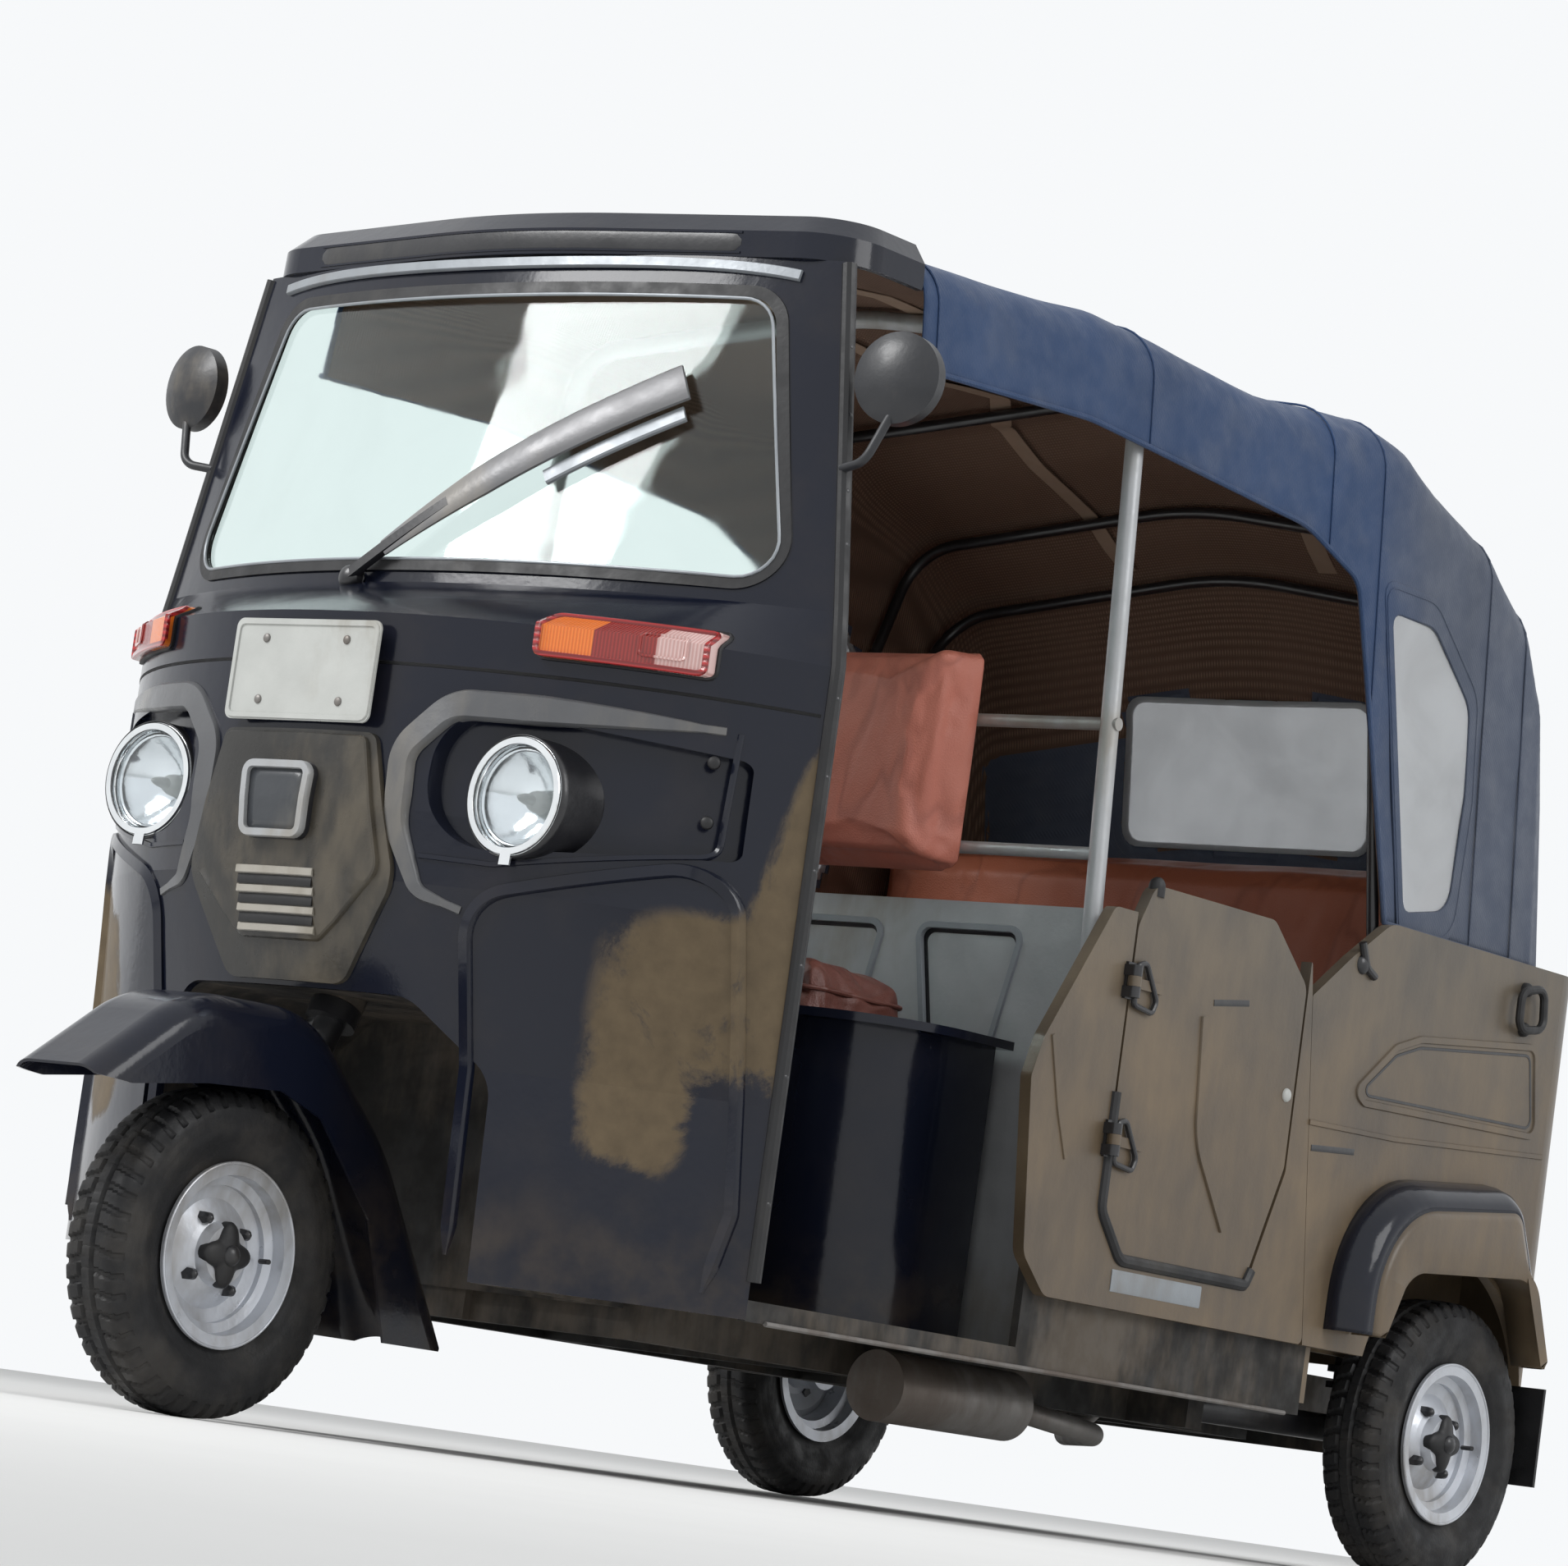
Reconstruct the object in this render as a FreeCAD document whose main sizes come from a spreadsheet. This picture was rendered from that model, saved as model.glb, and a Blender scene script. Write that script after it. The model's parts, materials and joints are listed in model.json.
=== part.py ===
import FreeCAD, Part
import math
import os
import Sketcher

from FreeCAD import Vector

# Three-wheeled auto rickshaw with twin headlamps and a folding hood.
# Millimetres; the front points to -Y, the vehicle's left side to +X, and Z is up.
# The origin is on the ground, midway between the front and rear ends.

document = FreeCAD.newDocument("AutoRickshaw")
sheet = document.addObject("Spreadsheet::Sheet", "Sizes")

# columns: name, value, what it is
SIZES = [
    ("wheelbase", 2000.0, "front axle to rear axle"),
    ("rear_track", 1150.0, "between the rear wheel centres"),
    ("tyre_radius", 207.5, "outside radius of a tyre"),
    ("tyre_width", 105.0, "section width of a tyre"),
    ("rim_radius", 118.0, "outside radius of a rim flange"),
    ("rim_width", 92.0, "width over the rim flanges"),
    ("hub_radius", 42.0, "outside radius of a wheel hub"),
    ("axle_radius", 15.0, "stub axle radius"),
    ("running_gap", 0.05, "radial play of a shaft in its bore"),
    ("seat_gap", 0.3, "gap between a soft piece and what carries it"),
    ("panel_gap", 5.0, "gap round a moving panel"),
    ("half_length", 1310.0, "origin to the foremost and rearmost points"),
    ("cowl_half_width", 600.0, "half width of the front cowl"),
    ("cowl_front", 970.0, "origin to the front of the nose"),
    ("cowl_edge", 650.0, "origin forward to the doorway edge of the cowl"),
    ("cowl_bottom", 215.0, "height of the cowl's lower edge"),
    ("cowl_shoulder", 1040.0, "height where the nose turns into the scuttle"),
    ("cowl_tuck", 75.0, "how far the lower nose is tucked back"),
    ("cowl_wall", 12.0, "depth of the cowl panel with its flanges"),
    ("scuttle_height", 1112.0, "height of the windscreen foot"),
    ("scuttle_front", 800.0, "origin forward to the windscreen foot"),
    ("scuttle_half_width", 588.0, "half width at the windscreen foot"),
    ("arch_half_width", 300.0, "half width of the front wheel opening"),
    ("arch_top", 560.0, "height of the front wheel opening"),
    ("arch_rear", 540.0, "origin forward to the back of the front wheel space"),
    ("liner_wall", 6.0, "sheet of the front wheel space"),
    ("pillar_top", 1575.0, "height where the pillars meet the header"),
    ("pillar_top_half_width", 507.0, "half width at the top of the pillars"),
    ("pillar_top_front", 700.0, "origin forward to the top of the windscreen"),
    ("pillar_top_edge", 624.0, "origin forward to the doorway edge at the top"),
    ("pillar_wall", 24.0, "depth of a pillar"),
    ("glass_bottom", 1128.0, "height of the windscreen's lower edge"),
    ("glass_top", 1536.0, "height of the windscreen's upper edge"),
    ("glass_bottom_half", 534.0, "half width of the windscreen at its foot"),
    ("glass_top_half", 438.0, "half width of the windscreen at its top"),
    ("glass_corner", 62.0, "corner radius of the windscreen"),
    ("glass_thickness", 5.0, "windscreen glass"),
    ("gasket_width", 16.0, "width of the rubber round the windscreen"),
    ("header_height", 78.0, "height of the roof header"),
    ("header_rear", 470.0, "origin forward to the back of the roof header"),
    ("header_overhang", 12.0, "how far the header stands out past the pillars"),
    ("lamp_side", 321.0, "centre line to a headlamp"),
    ("lamp_height", 821.0, "height of the headlamps"),
    ("lamp_radius", 70.0, "headlamp lens radius"),
    ("lamp_depth", 95.0, "depth of a headlamp bowl"),
    ("recess_depth", 26.0, "depth of the lamp recess in the cowl"),
    ("mask_thickness", 8.0, "how far the nose mask stands out"),
    ("plate_width", 252.0, "number plate width"),
    ("plate_height", 132.0, "number plate height"),
    ("plate_centre", 960.0, "height of the number plate's centre"),
    ("plate_thickness", 3.0, "number plate sheet"),
    ("indicator_inner", 322.0, "centre line to the near end of an indicator"),
    ("indicator_length", 182.0, "indicator length across the vehicle"),
    ("indicator_bottom", 1000.0, "height of an indicator's lower edge"),
    ("indicator_height", 61.0, "indicator height"),
    ("indicator_depth", 14.0, "how far an indicator stands out"),
    ("floor_height", 240.0, "height of the cabin floor"),
    ("floor_thickness", 8.0, "floor sheet"),
    ("floor_half_width", 590.0, "half width of the floor"),
    ("floor_rear", 640.0, "origin back to the end of the floor"),
    ("sill_drop", 26.0, "how far the sill hangs below the floor"),
    ("rail_side", 300.0, "centre line to a chassis rail"),
    ("rail_width", 50.0, "chassis rail width"),
    ("rail_height", 56.0, "chassis rail height"),
    ("rail_front", 520.0, "origin forward to the rails' front ends"),
    ("rail_rear", 1180.0, "origin back to the rails' rear ends"),
    ("cross_width", 40.0, "cross member width along the vehicle"),
    ("rake", 22.0, "lean of the steering axis from upright, degrees"),
    ("axis_ahead", 40.0, "steering axis behind the front axle at axle height"),
    ("column_radius", 22.0, "steering column radius"),
    ("head_radius", 34.0, "steering head outside radius"),
    ("head_bottom", 548.0, "height of the lower end of the steering head"),
    ("head_top", 700.0, "height of the upper end of the steering head"),
    ("bar_height", 950.0, "height of the handlebar"),
    ("bar_half", 285.0, "half width of the handlebar"),
    ("bar_radius", 11.0, "handlebar tube radius"),
    ("leg_side", 99.0, "centre line to the single fork leg"),
    ("leg_radius", 14.0, "fork leg tube radius"),
    ("guard_half_width", 80.0, "half width of the front mudguard"),
    ("guard_wall", 4.0, "front mudguard sheet"),
    ("pole_side", 573.0, "centre line to a B pole at waist height"),
    ("pole_y", 40.0, "origin back to the B poles"),
    ("pole_radius", 13.0, "B pole tube radius"),
    ("bow_radius", 9.0, "hood bow and cross rail tube radius"),
    ("waist_height", 845.0, "height of the partition's top"),
    ("partition_thickness", 14.0, "partition with its ribs"),
    ("side_outer", 608.0, "half width over the side panels"),
    ("side_wall", 18.0, "thickness of a side wall"),
    ("side_bottom", 312.0, "height of the side panels' lower edge"),
    ("door_front", 70.0, "origin back to a door's front edge"),
    ("door_rear", 498.0, "origin back to a door's rear edge"),
    ("door_bottom", 381.0, "height of a door's lower edge"),
    ("door_top", 888.0, "height of a door's top"),
    ("door_corner", 45.0, "corner radius of a door"),
    ("hinge_reach", 14.0, "door hinge pin outside the door face"),
    ("hinge_pin", 5.0, "door hinge pin radius"),
    ("hinge_high", 750.0, "height of the upper door hinge"),
    ("hinge_low", 535.0, "height of the lower door hinge"),
    ("hinge_height", 44.0, "height of a door hinge"),
    ("tub_rear", 1262.0, "origin back to the rear wall"),
    ("tub_corner", 70.0, "corner radius of the tub"),
    ("tub_top", 931.7, "height of the tub's top edge"),
    ("tub_front_top", 868.0, "height of the tub's edge at the doorway"),
    ("tub_front", 606.0, "origin back to the tub's upper front corner"),
    ("lid_half_width", 330.0, "half width of the engine lid"),
    ("lid_bottom", 400.0, "height of the engine lid's lower edge"),
    ("lid_top", 800.0, "height of the engine lid's upper edge"),
    ("fender_outer", 310.0, "outer radius of a rear fender"),
    ("fender_inner", 232.0, "inner radius of a rear fender"),
    ("fender_centre", 985.0, "origin back to the rear fenders' centre"),
    ("fender_height", 248.0, "height of the rear fenders' centre"),
    ("fender_reach", 650.0, "half width over the rear fenders"),
    ("shelf_height", 600.0, "height of the bench shelf"),
    ("shelf_thickness", 12.0, "bench shelf and wheelhouse sheet"),
    ("wheelhouse_side", 500.0, "centre line to a wheelhouse wall"),
    ("bench_depth", 400.0, "bench cushion, front to back"),
    ("bench_height", 115.0, "bench cushion thickness"),
    ("bench_half_width", 560.0, "half width of the bench"),
    ("backrest_height", 345.0, "bench backrest height"),
    ("backrest_thickness", 85.0, "bench backrest thickness"),
    ("seat_base_half", 430.0, "half width of the driver's seat base"),
    ("seat_base_front", 230.0, "origin forward to the seat base front"),
    ("seat_base_corner", 150.0, "corner radius of the seat base"),
    ("seat_base_top", 640.0, "height of the seat base"),
    ("seat_half", 300.0, "half width of the driver's cushion"),
    ("seat_thickness", 66.0, "thickness of the driver's cushion"),
    ("squab_half", 325.0, "half width of the driver's backrest"),
    ("squab_bottom", 880.0, "height of the driver's backrest's lower edge"),
    ("squab_top", 1190.0, "height of the driver's backrest's top"),
    ("squab_thickness", 85.0, "thickness of the driver's backrest"),
    ("hood_sheet", 6.0, "hood fabric with its seams"),
    ("hood_bottom", 932.0, "height of the hood's lower edge behind the bow"),
    ("engine_half_width", 210.0, "half width of the engine block"),
    ("engine_front", 860.0, "origin back to the engine block"),
    ("engine_length", 330.0, "engine block, front to back"),
    ("engine_height", 290.0, "engine block height"),
    ("silencer_radius", 48.0, "silencer radius"),
    ("silencer_length", 300.0, "silencer length"),
    ("mirror_radius", 60.0, "mirror head radius"),
    ("mirror_side", 622.0, "centre line to a mirror"),
    ("mirror_height", 1418.0, "height of the mirrors"),
]


class Size:
    """The driving dimensions by name, read back from the sheet."""


for row, (name, value, note) in enumerate(SIZES, start=1):
    sheet.set("A%d" % row, note)
    sheet.set("B%d" % row, str(value))
    sheet.setAlias("B%d" % row, name)
document.recompute()
size = Size()
for name, value, note in SIZES:
    setattr(size, name, float(getattr(sheet, name)))

pieces = []


def keep(thing, label):
    """Name a finished sub-part; its label is its node and its file."""
    thing.Label = label
    pieces.append(thing)
    return thing


def shape_piece(label, shape):
    """A sub-part whose shape comes from surfaces that no primitive gives."""
    piece = document.addObject("Part::Feature", label)
    piece.Shape = shape
    piece.Placement = FreeCAD.Placement()
    return keep(piece, label)


def bind(thing, **formulas):
    """Tie properties of a document object to the sheet; names use _ for a dot."""
    for key, formula in formulas.items():
        path = {"x": "Placement.Base.x", "y": "Placement.Base.y", "z": "Placement.Base.z"}.get(key, key)
        thing.setExpression(path, formula)


def bound_box(name, x, y, z, length, width, height):
    box = document.addObject("Part::Box", name)
    bind(box, x=x, y=y, z=z, Length=length, Width=width, Height=height)
    return box


# Geometry helpers

def rounded_edges(points, radii, closed=True):
    """Straight runs through points, each corner rounded by a tangent arc of its radius."""
    count = len(points)
    starts, ends, arcs = [None] * count, [None] * count, [None] * count
    for i, point in enumerate(points):
        radius = radii[i] if isinstance(radii, (list, tuple)) else radii
        is_end = not closed and i in (0, count - 1)
        if is_end or radius <= 0:
            starts[i] = ends[i] = point
            continue
        back = (points[i - 1] - point).normalize()
        ahead = (points[(i + 1) % count] - point).normalize()
        half = back.getAngle(ahead) / 2
        reach = radius / math.tan(half)
        starts[i] = point + back * reach
        ends[i] = point + ahead * reach
        middle = (back + ahead).normalize()
        arcs[i] = point + middle * (radius / math.sin(half) - radius)
    edges = []
    for i in range(count):
        if arcs[i] is not None:
            edges.append(Part.Arc(starts[i], arcs[i], ends[i]).toShape())
        if i == count - 1 and not closed:
            break
        after = starts[(i + 1) % count]
        if (after - ends[i]).Length > 1e-6:
            edges.append(Part.LineSegment(ends[i], after).toShape())
    return edges


def wire_xy(points, radii, z):
    return Part.Wire(rounded_edges([Vector(x, y, z) for x, y in points], radii))


def wire_xz(points, radii, y):
    return Part.Wire(rounded_edges([Vector(x, y, z) for x, z in points], radii))


def wire_yz(points, radii, x):
    return Part.Wire(rounded_edges([Vector(x, y, z) for y, z in points], radii))


def prism(wire, direction):
    return Part.Face(wire).extrude(direction)


def mirrored(shape):
    """The same piece on the other side of the vehicle."""
    return shape.mirror(Vector(0, 0, 0), Vector(1, 0, 0))


def both_sides(shape):
    return Part.Compound([shape, mirrored(shape)])


def block(x0, x1, y0, y1, z0, z1):
    return Part.makeBox(x1 - x0, y1 - y0, z1 - z0, Vector(x0, y0, z0))


def tube(points, radii, radius):
    """A round bar along straight runs and arcs."""
    path = Part.Wire(rounded_edges(points, radii, closed=False))
    heading = (points[1] - points[0]).normalize()
    ring = Part.Wire([Part.makeCircle(radius, points[0], heading)])
    return path.makePipeShell([ring], True, True)


# Front cowl: plan sections that are one arc across the nose, closed behind

def cowl_sections():
    """Columns: height, front, doorway edge, half width."""
    front = size.cowl_front
    edge = size.cowl_edge
    half = size.cowl_half_width
    tuck = size.cowl_tuck
    shoulder = size.cowl_shoulder
    return [
        (size.cowl_bottom, front - tuck - 5, edge, half),
        (size.arch_top - 80, front - tuck + 8, edge, half),
        (size.arch_top + 140, front - 9, edge, half),
        (size.lamp_height - 30, front - 1, edge, half),
        (shoulder, front, edge, half),
        (size.scuttle_height, size.scuttle_front, edge - 5, size.scuttle_half_width),
    ]


def pillar_sections():
    """Columns as for the cowl, from the scuttle to the top of the pillars."""
    return [
        (size.scuttle_height, size.scuttle_front, size.cowl_edge - 5, size.scuttle_half_width),
        (size.pillar_top, size.pillar_top_front, size.pillar_top_edge, size.pillar_top_half_width),
    ]


def nose_loft(sections, inset, back=0.0, below=0.0, above=0.0):
    """Loft of arc-fronted sections moved in by inset; back, below, above lengthen it."""
    wires = []
    last = len(sections) - 1
    for i, (z, front, edge, half) in enumerate(sections):
        z = z - (below if i == 0 else 0) + (above if i == last else 0)
        half = half - inset
        front = front - inset
        left, right = Vector(half, -edge, z), Vector(-half, -edge, z)
        edges = [Part.Arc(right, Vector(0, -front, z), left).toShape()]
        rear_left, rear_right = Vector(half, -edge + back, z), Vector(-half, -edge + back, z)
        if back > 0:
            edges.append(Part.LineSegment(left, rear_left).toShape())
        edges.append(Part.LineSegment(rear_left, rear_right).toShape())
        if back > 0:
            edges.append(Part.LineSegment(rear_right, right).toShape())
        wires.append(Part.Wire(edges))
    return Part.makeLoft(wires, True, True)


def nose_band(sections, outer, inner):
    """The skin between two insets of the loft; a negative inset stands proud."""
    return nose_loft(sections, outer).cut(nose_loft(sections, inner, 40, 5, 5))


def arch_outline(grow):
    half = size.arch_half_width + grow
    top = size.arch_top + grow
    return [(half, size.cowl_bottom - 60), (half, top - 90), (half - 110, top),
            (110 - half, top), (-half, top - 90), (-half, size.cowl_bottom - 60)]


def arch_prism(grow, front, rear):
    outline = wire_xz(arch_outline(grow), [0, 60, 60, 60, 60, 0], -front)
    return prism(outline, Vector(0, front - rear, 0))


def eye_outline(grow):
    """Outline of the lamp recess: round at the lamp, square at its outer end."""
    side, height = size.lamp_side, size.lamp_height
    low, high = height - 98 - grow, height + 118 + grow
    return [(side - 128 - grow, low + 10), (side + 235 + grow, low + 45),
            (side + 235 + grow, high - 28), (side - 118 - grow, high)]


def eye_prism(grow):
    outline = wire_xz(eye_outline(grow), [90 + grow, 22 + grow, 22 + grow, 84 + grow], -size.half_length)
    return prism(outline, Vector(0, size.half_length - size.cowl_edge + 40, 0))


def make_front_cowl():
    sections = cowl_sections()
    skin = nose_band(sections, 0, size.cowl_wall)
    skin = skin.cut(arch_prism(0, size.half_length, size.arch_rear))
    floor_band = nose_band(sections, size.recess_depth, size.recess_depth + size.cowl_wall)
    wall_band = nose_band(sections, 0, size.recess_depth + size.cowl_wall)
    bore = Part.makeCylinder(size.lamp_radius + 6, size.cowl_front,
                             Vector(size.lamp_side, -size.half_length, size.lamp_height), Vector(0, 1, 0))
    for flip in (False, True):
        outer, inner, hole = eye_prism(0), eye_prism(-8), bore
        if flip:
            outer, inner, hole = mirrored(outer), mirrored(inner), mirrored(hole)
        dish = wall_band.common(outer.cut(inner)).fuse(floor_band.common(outer))
        skin = skin.cut(outer).fuse(dish).cut(hole)
    shape_piece("front_cowl", skin.removeSplitter())


def make_wheel_space():
    """Sheet round the front wheel, open in front and below, with a hole for the head."""
    wall = size.liner_wall
    outside = arch_prism(wall, size.cowl_front, size.arch_rear - wall)
    inside = arch_prism(0, size.cowl_front + 10, size.arch_rear)
    liner = outside.cut(inside).cut(block(-700, 700, -1300, 0, 0, size.cowl_bottom))
    liner = liner.common(nose_loft(cowl_sections(), size.cowl_wall, 200))
    shape_piece("wheel_space", liner.cut(head_cylinder(size.head_radius, 60)))


# Steering axis: leans back, and meets the axle height a little behind the axle

def axis_point(z):
    lean = math.tan(math.radians(size.rake))
    return Vector(0, -size.wheelbase / 2 + size.axis_ahead + (z - size.tyre_radius) * lean, z)


def axis_direction():
    lean = math.radians(size.rake)
    return Vector(0, math.sin(lean), math.cos(lean))


def head_cylinder(radius, extra=0.0):
    bottom, top = axis_point(size.head_bottom), axis_point(size.head_top)
    start = bottom - axis_direction() * extra
    return Part.makeCylinder(radius, (top - bottom).Length + 2 * extra, start, axis_direction())


NECK_HALF = 35.0


def liner_back():
    """Rear face of the sheet behind the front wheel."""
    return size.liner_wall - size.arch_rear


def neck_post(low):
    """Upright behind the front wheel that carries the steering head's beam."""
    front = liner_back()
    return block(-NECK_HALF, NECK_HALF, front, front + 40, low, size.arch_top + size.liner_wall + 60)


def make_chassis():
    """Two rails with cross members, and a neck that carries the steering head."""
    rail_top = size.floor_height - size.floor_thickness
    rail_low = rail_top - size.rail_height
    side, half = size.rail_side, size.rail_width / 2
    kick = size.engine_front + 20
    rail = block(side - half, side + half, -size.rail_front, kick + size.cross_width, rail_low, rail_top)
    raised = block(side - half, side + half, kick, size.rail_rear, rail_top, rail_top + size.rail_height)
    post = block(side - half, side + half, size.rail_rear - size.cross_width, size.rail_rear, rail_low, rail_top)
    rail = rail.fuse([raised, post])
    frame = rail.fuse(mirrored(rail))
    for place in (-size.rail_front, 0.0, size.floor_rear - size.cross_width, kick,
                  size.rail_rear - size.cross_width):
        top = rail_top - (0 if place < size.engine_front else 20)
        frame = frame.fuse(block(-side, side, place, place + size.cross_width, rail_low, top))
    reach = 430.0
    frame = frame.fuse(block(-reach, reach, size.floor_rear - size.cross_width, size.floor_rear, rail_low, rail_top))
    beam_low = size.arch_top + size.liner_wall
    post = neck_post(rail_low)
    beam = block(-NECK_HALF, NECK_HALF, axis_point(beam_low).y, liner_back(), beam_low, beam_low + 60)
    eye_plate = block(-40, 40, size.rail_rear - 5, size.half_length, rail_low + 10, rail_low + 22)
    eye = Part.makeCylinder(12.0, 40, Vector(0, size.half_length - 30, rail_low), Vector(0, 0, 1))
    frame = frame.fuse([post, beam, head_cylinder(size.head_radius), eye_plate])
    frame = frame.cut(head_cylinder(size.column_radius + size.running_gap, 20)).cut(eye)
    shape_piece("chassis_frame", frame.removeSplitter())


def make_floor():
    top, sheet_low = size.floor_height, size.floor_height - size.floor_thickness
    half, edge = size.floor_half_width, size.cowl_edge
    inside = nose_loft(cowl_sections(), size.cowl_wall, 40)
    plate = block(-half, half, -edge, size.floor_rear, sheet_low, top)
    toe = block(-half, half, -size.cowl_front, -edge + 10, sheet_low, top).common(inside)
    floor = plate.common(block(-half, half, -edge + 10, size.floor_rear, 0, top)).fuse(toe)
    floor = floor.cut(arch_prism(size.liner_wall, size.cowl_front, size.arch_rear - size.liner_wall))
    floor = floor.cut(neck_post(0))
    for x0, x1 in ((half - 12, half), (-half, 12 - half)):
        sill = block(x0, x1, -edge + 12, size.floor_rear, top - size.sill_drop, top)
        upstand = block(x0, x1, -60, size.floor_rear, top - 1, size.side_bottom + 60)
        floor = floor.fuse([sill, upstand])
    shape_piece("floor_pan", floor.removeSplitter())


# Windscreen: opening, rubber and glass share one outline

def glass_prism(inset):
    low, high = size.glass_bottom + inset, size.glass_top - inset
    slope = (size.glass_bottom_half - size.glass_top_half) / (size.glass_top - size.glass_bottom)
    half_low = size.glass_bottom_half - inset - slope * inset
    half_high = size.glass_top_half - inset + slope * inset
    points = [(-half_low, low), (half_low, low), (half_high, high), (-half_high, high)]
    outline = wire_xz(points, size.glass_corner - inset, -size.half_length)
    return prism(outline, Vector(0, size.half_length - size.cowl_edge / 2, 0))


def make_windscreen():
    sections = pillar_sections()
    shape_piece("windscreen_surround",
                nose_band(sections, 0, size.pillar_wall).cut(glass_prism(0)).removeSplitter())
    ring = glass_prism(0).cut(glass_prism(size.gasket_width))
    shape_piece("windscreen_rubber", nose_band(sections, -4, 18).common(ring))
    pane = nose_band(sections, 7, 7 + size.glass_thickness)
    shape_piece("windscreen_glass", pane.common(glass_prism(size.gasket_width)))


def make_header():
    """Cap over the windscreen: rounded plan sections that shrink towards the roof."""
    top, rise = size.pillar_top, size.header_height
    half, front = size.pillar_top_half_width, size.pillar_top_front + size.header_overhang
    # columns: share of the height, how far in the sides are, how far back the front is, corner
    steps = [(0.0, 0.0, 0.0, 90.0), (0.45, 2.0, 0.0, 90.0), (0.8, 22.0, 26.0, 80.0), (1.0, 70.0, 90.0, 60.0)]

    def cap(inset):
        wires = []
        for share, narrow, retreat, corner in steps:
            x = half + 8 - narrow - inset
            y = front - retreat - inset
            z = top + rise * share - (inset if share == 1.0 else 0)
            z = z - (inset if share == 0.0 else 0)
            rear = size.header_rear - (20 if inset else 0)
            points = [(-x, -rear), (-x, -y + 75), (0, -y - 12), (x, -y + 75), (x, -rear)]
            wires.append(wire_xy(points, [0, corner, 900, corner, 0], z))
        return Part.makeLoft(wires, True, True)
    header = cap(0).cut(cap(10))
    shape_piece("roof_header", header.removeSplitter())


# Hood: arches across the vehicle, lofted from the header to the tub

def hood_sections():
    """Columns: y, shoulder height, crown height, half width at the shoulder and the base, corner."""
    return [
        (-size.header_rear + 0.5, 1622, 1662, 515, 585, 75),
        (-54, 1650, 1700, 530, 588, 85),
        (366, 1634, 1690, 532, 588, 85),
        (620, 1652, 1712, 538, 590, 85),
        (720, 1642, 1706, 540, 590, 85),
        (800, 1600, 1668, 545, 590, 80),
        (953, 1542, 1612, 550, 590, 80),
        (1072, 1462, 1536, 548, 588, 80),
        (1130, 1372, 1448, 544, 584, 75),
        (1172, 1240, 1320, 536, 570, 70),
        (1212, 980, 1030, 500, 520, 25),
    ]


def hood_arch(y, shoulder, crown, half_top, half_base, corner, inset, base):
    """Closed outline of one arch, moved in by inset."""
    peak = crown - inset
    points = [(-half_base + inset, base), (-half_top + inset, shoulder - inset), (0, peak),
              (half_top - inset, shoulder - inset), (half_base - inset, base)]
    return wire_xz(points, [0, corner - inset, 900, corner - inset, 0], y)


def hood_loft(inset, base, front=0.0, rear=0.0):
    wires = []
    rows = hood_sections()
    for i, (y, shoulder, crown, half_top, half_base, corner) in enumerate(rows):
        shift = -front if i == 0 else (-rear if i > 5 else 0)
        wires.append(hood_arch(y + shift, shoulder, crown, half_top, half_base, corner, inset, base))
    return Part.makeLoft(wires, True, True)


SKIRT = [(-700, 600), (-700, 1458), (-105, 1490), (438, 1462), (580, 1410), (712, 900), (712, 600)]
SIDE_LIGHT = [(668, 1392), (790, 1392), (905, 1290), (908, 1150), (880, 968), (752, 945)]


def side_prism(points, radii):
    return prism(wire_yz(points, radii, -800), Vector(1600, 0, 0))


def make_hood():
    sheet_thickness = size.hood_sheet
    base = size.hood_bottom
    outside = hood_loft(0, base)
    inside = hood_loft(sheet_thickness, base - 10, front=10, rear=sheet_thickness)
    hood = outside.cut(inside).cut(side_prism(SKIRT, [0, 0, 300, 200, 45, 0, 0]))
    lights = side_prism(SIDE_LIGHT, [20, 50, 50, 60, 50, 20])
    rear_light = prism(wire_xz([(-230, 1100), (230, 1100), (230, 1330), (-230, 1330)], 30, 1100),
                       Vector(0, 200, 0))
    film = hood_loft(1.5, base).cut(hood_loft(4.0, base - 10, front=10, rear=4.0))
    panes = film.common(lights).fuse(film.common(rear_light))
    shape_piece("hood_canopy", hood.cut(lights).cut(rear_light))
    shape_piece("hood_windows", panes)


def make_bows():
    """Hoop with the B poles, and the hood bows with pads on the tub's inner wall."""
    reach = size.hood_sheet + size.pole_radius + 1.5

    def arch(foot_x, foot_y, foot_z, top_y, shoulder, crown, half, radius):
        high = shoulder - reach
        points = [Vector(foot_x, foot_y, foot_z), Vector(half - reach, top_y, high),
                  Vector(0, top_y, crown - reach), Vector(reach - half, top_y, high),
                  Vector(-foot_x, foot_y, foot_z)]
        return tube(points, [0, 90, 700, 90, 0], radius)
    hoop = arch(size.pole_side + 2, size.pole_y, size.side_bottom + 60, size.pole_y, 1645, 1696, 531,
                size.pole_radius)
    for z in (918, 1097):
        start = Vector(20 - size.pole_side, size.pole_y, z)
        hoop = hoop.fuse(Part.makeCylinder(size.bow_radius, 2 * size.pole_side - 40, start, Vector(1, 0, 0)))
    shape_piece("pole_hoop", hoop)
    inner = size.side_outer - size.side_wall
    foot_x = inner - size.bow_radius - 10
    foot_z = size.tub_top - 40
    bows = []
    # columns: y at the foot, y at the top, shoulder height, crown height, half width at the shoulder
    for foot_y, top_y, shoulder, crown, half in ((712, 632, 1650, 1710, 538), (737, 940, 1542, 1614, 548),
                                                 (762, 1060, 1455, 1532, 546)):
        bow = arch(foot_x, foot_y, foot_z, top_y, shoulder, crown, half, size.bow_radius)
        pad = block(foot_x - 4, inner, foot_y - 11, foot_y + 11, foot_z - 4, foot_z + 24)
        bows.append(bow.fuse([pad, mirrored(pad)]))
    shape_piece("hood_bows", Part.Compound(bows))


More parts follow.
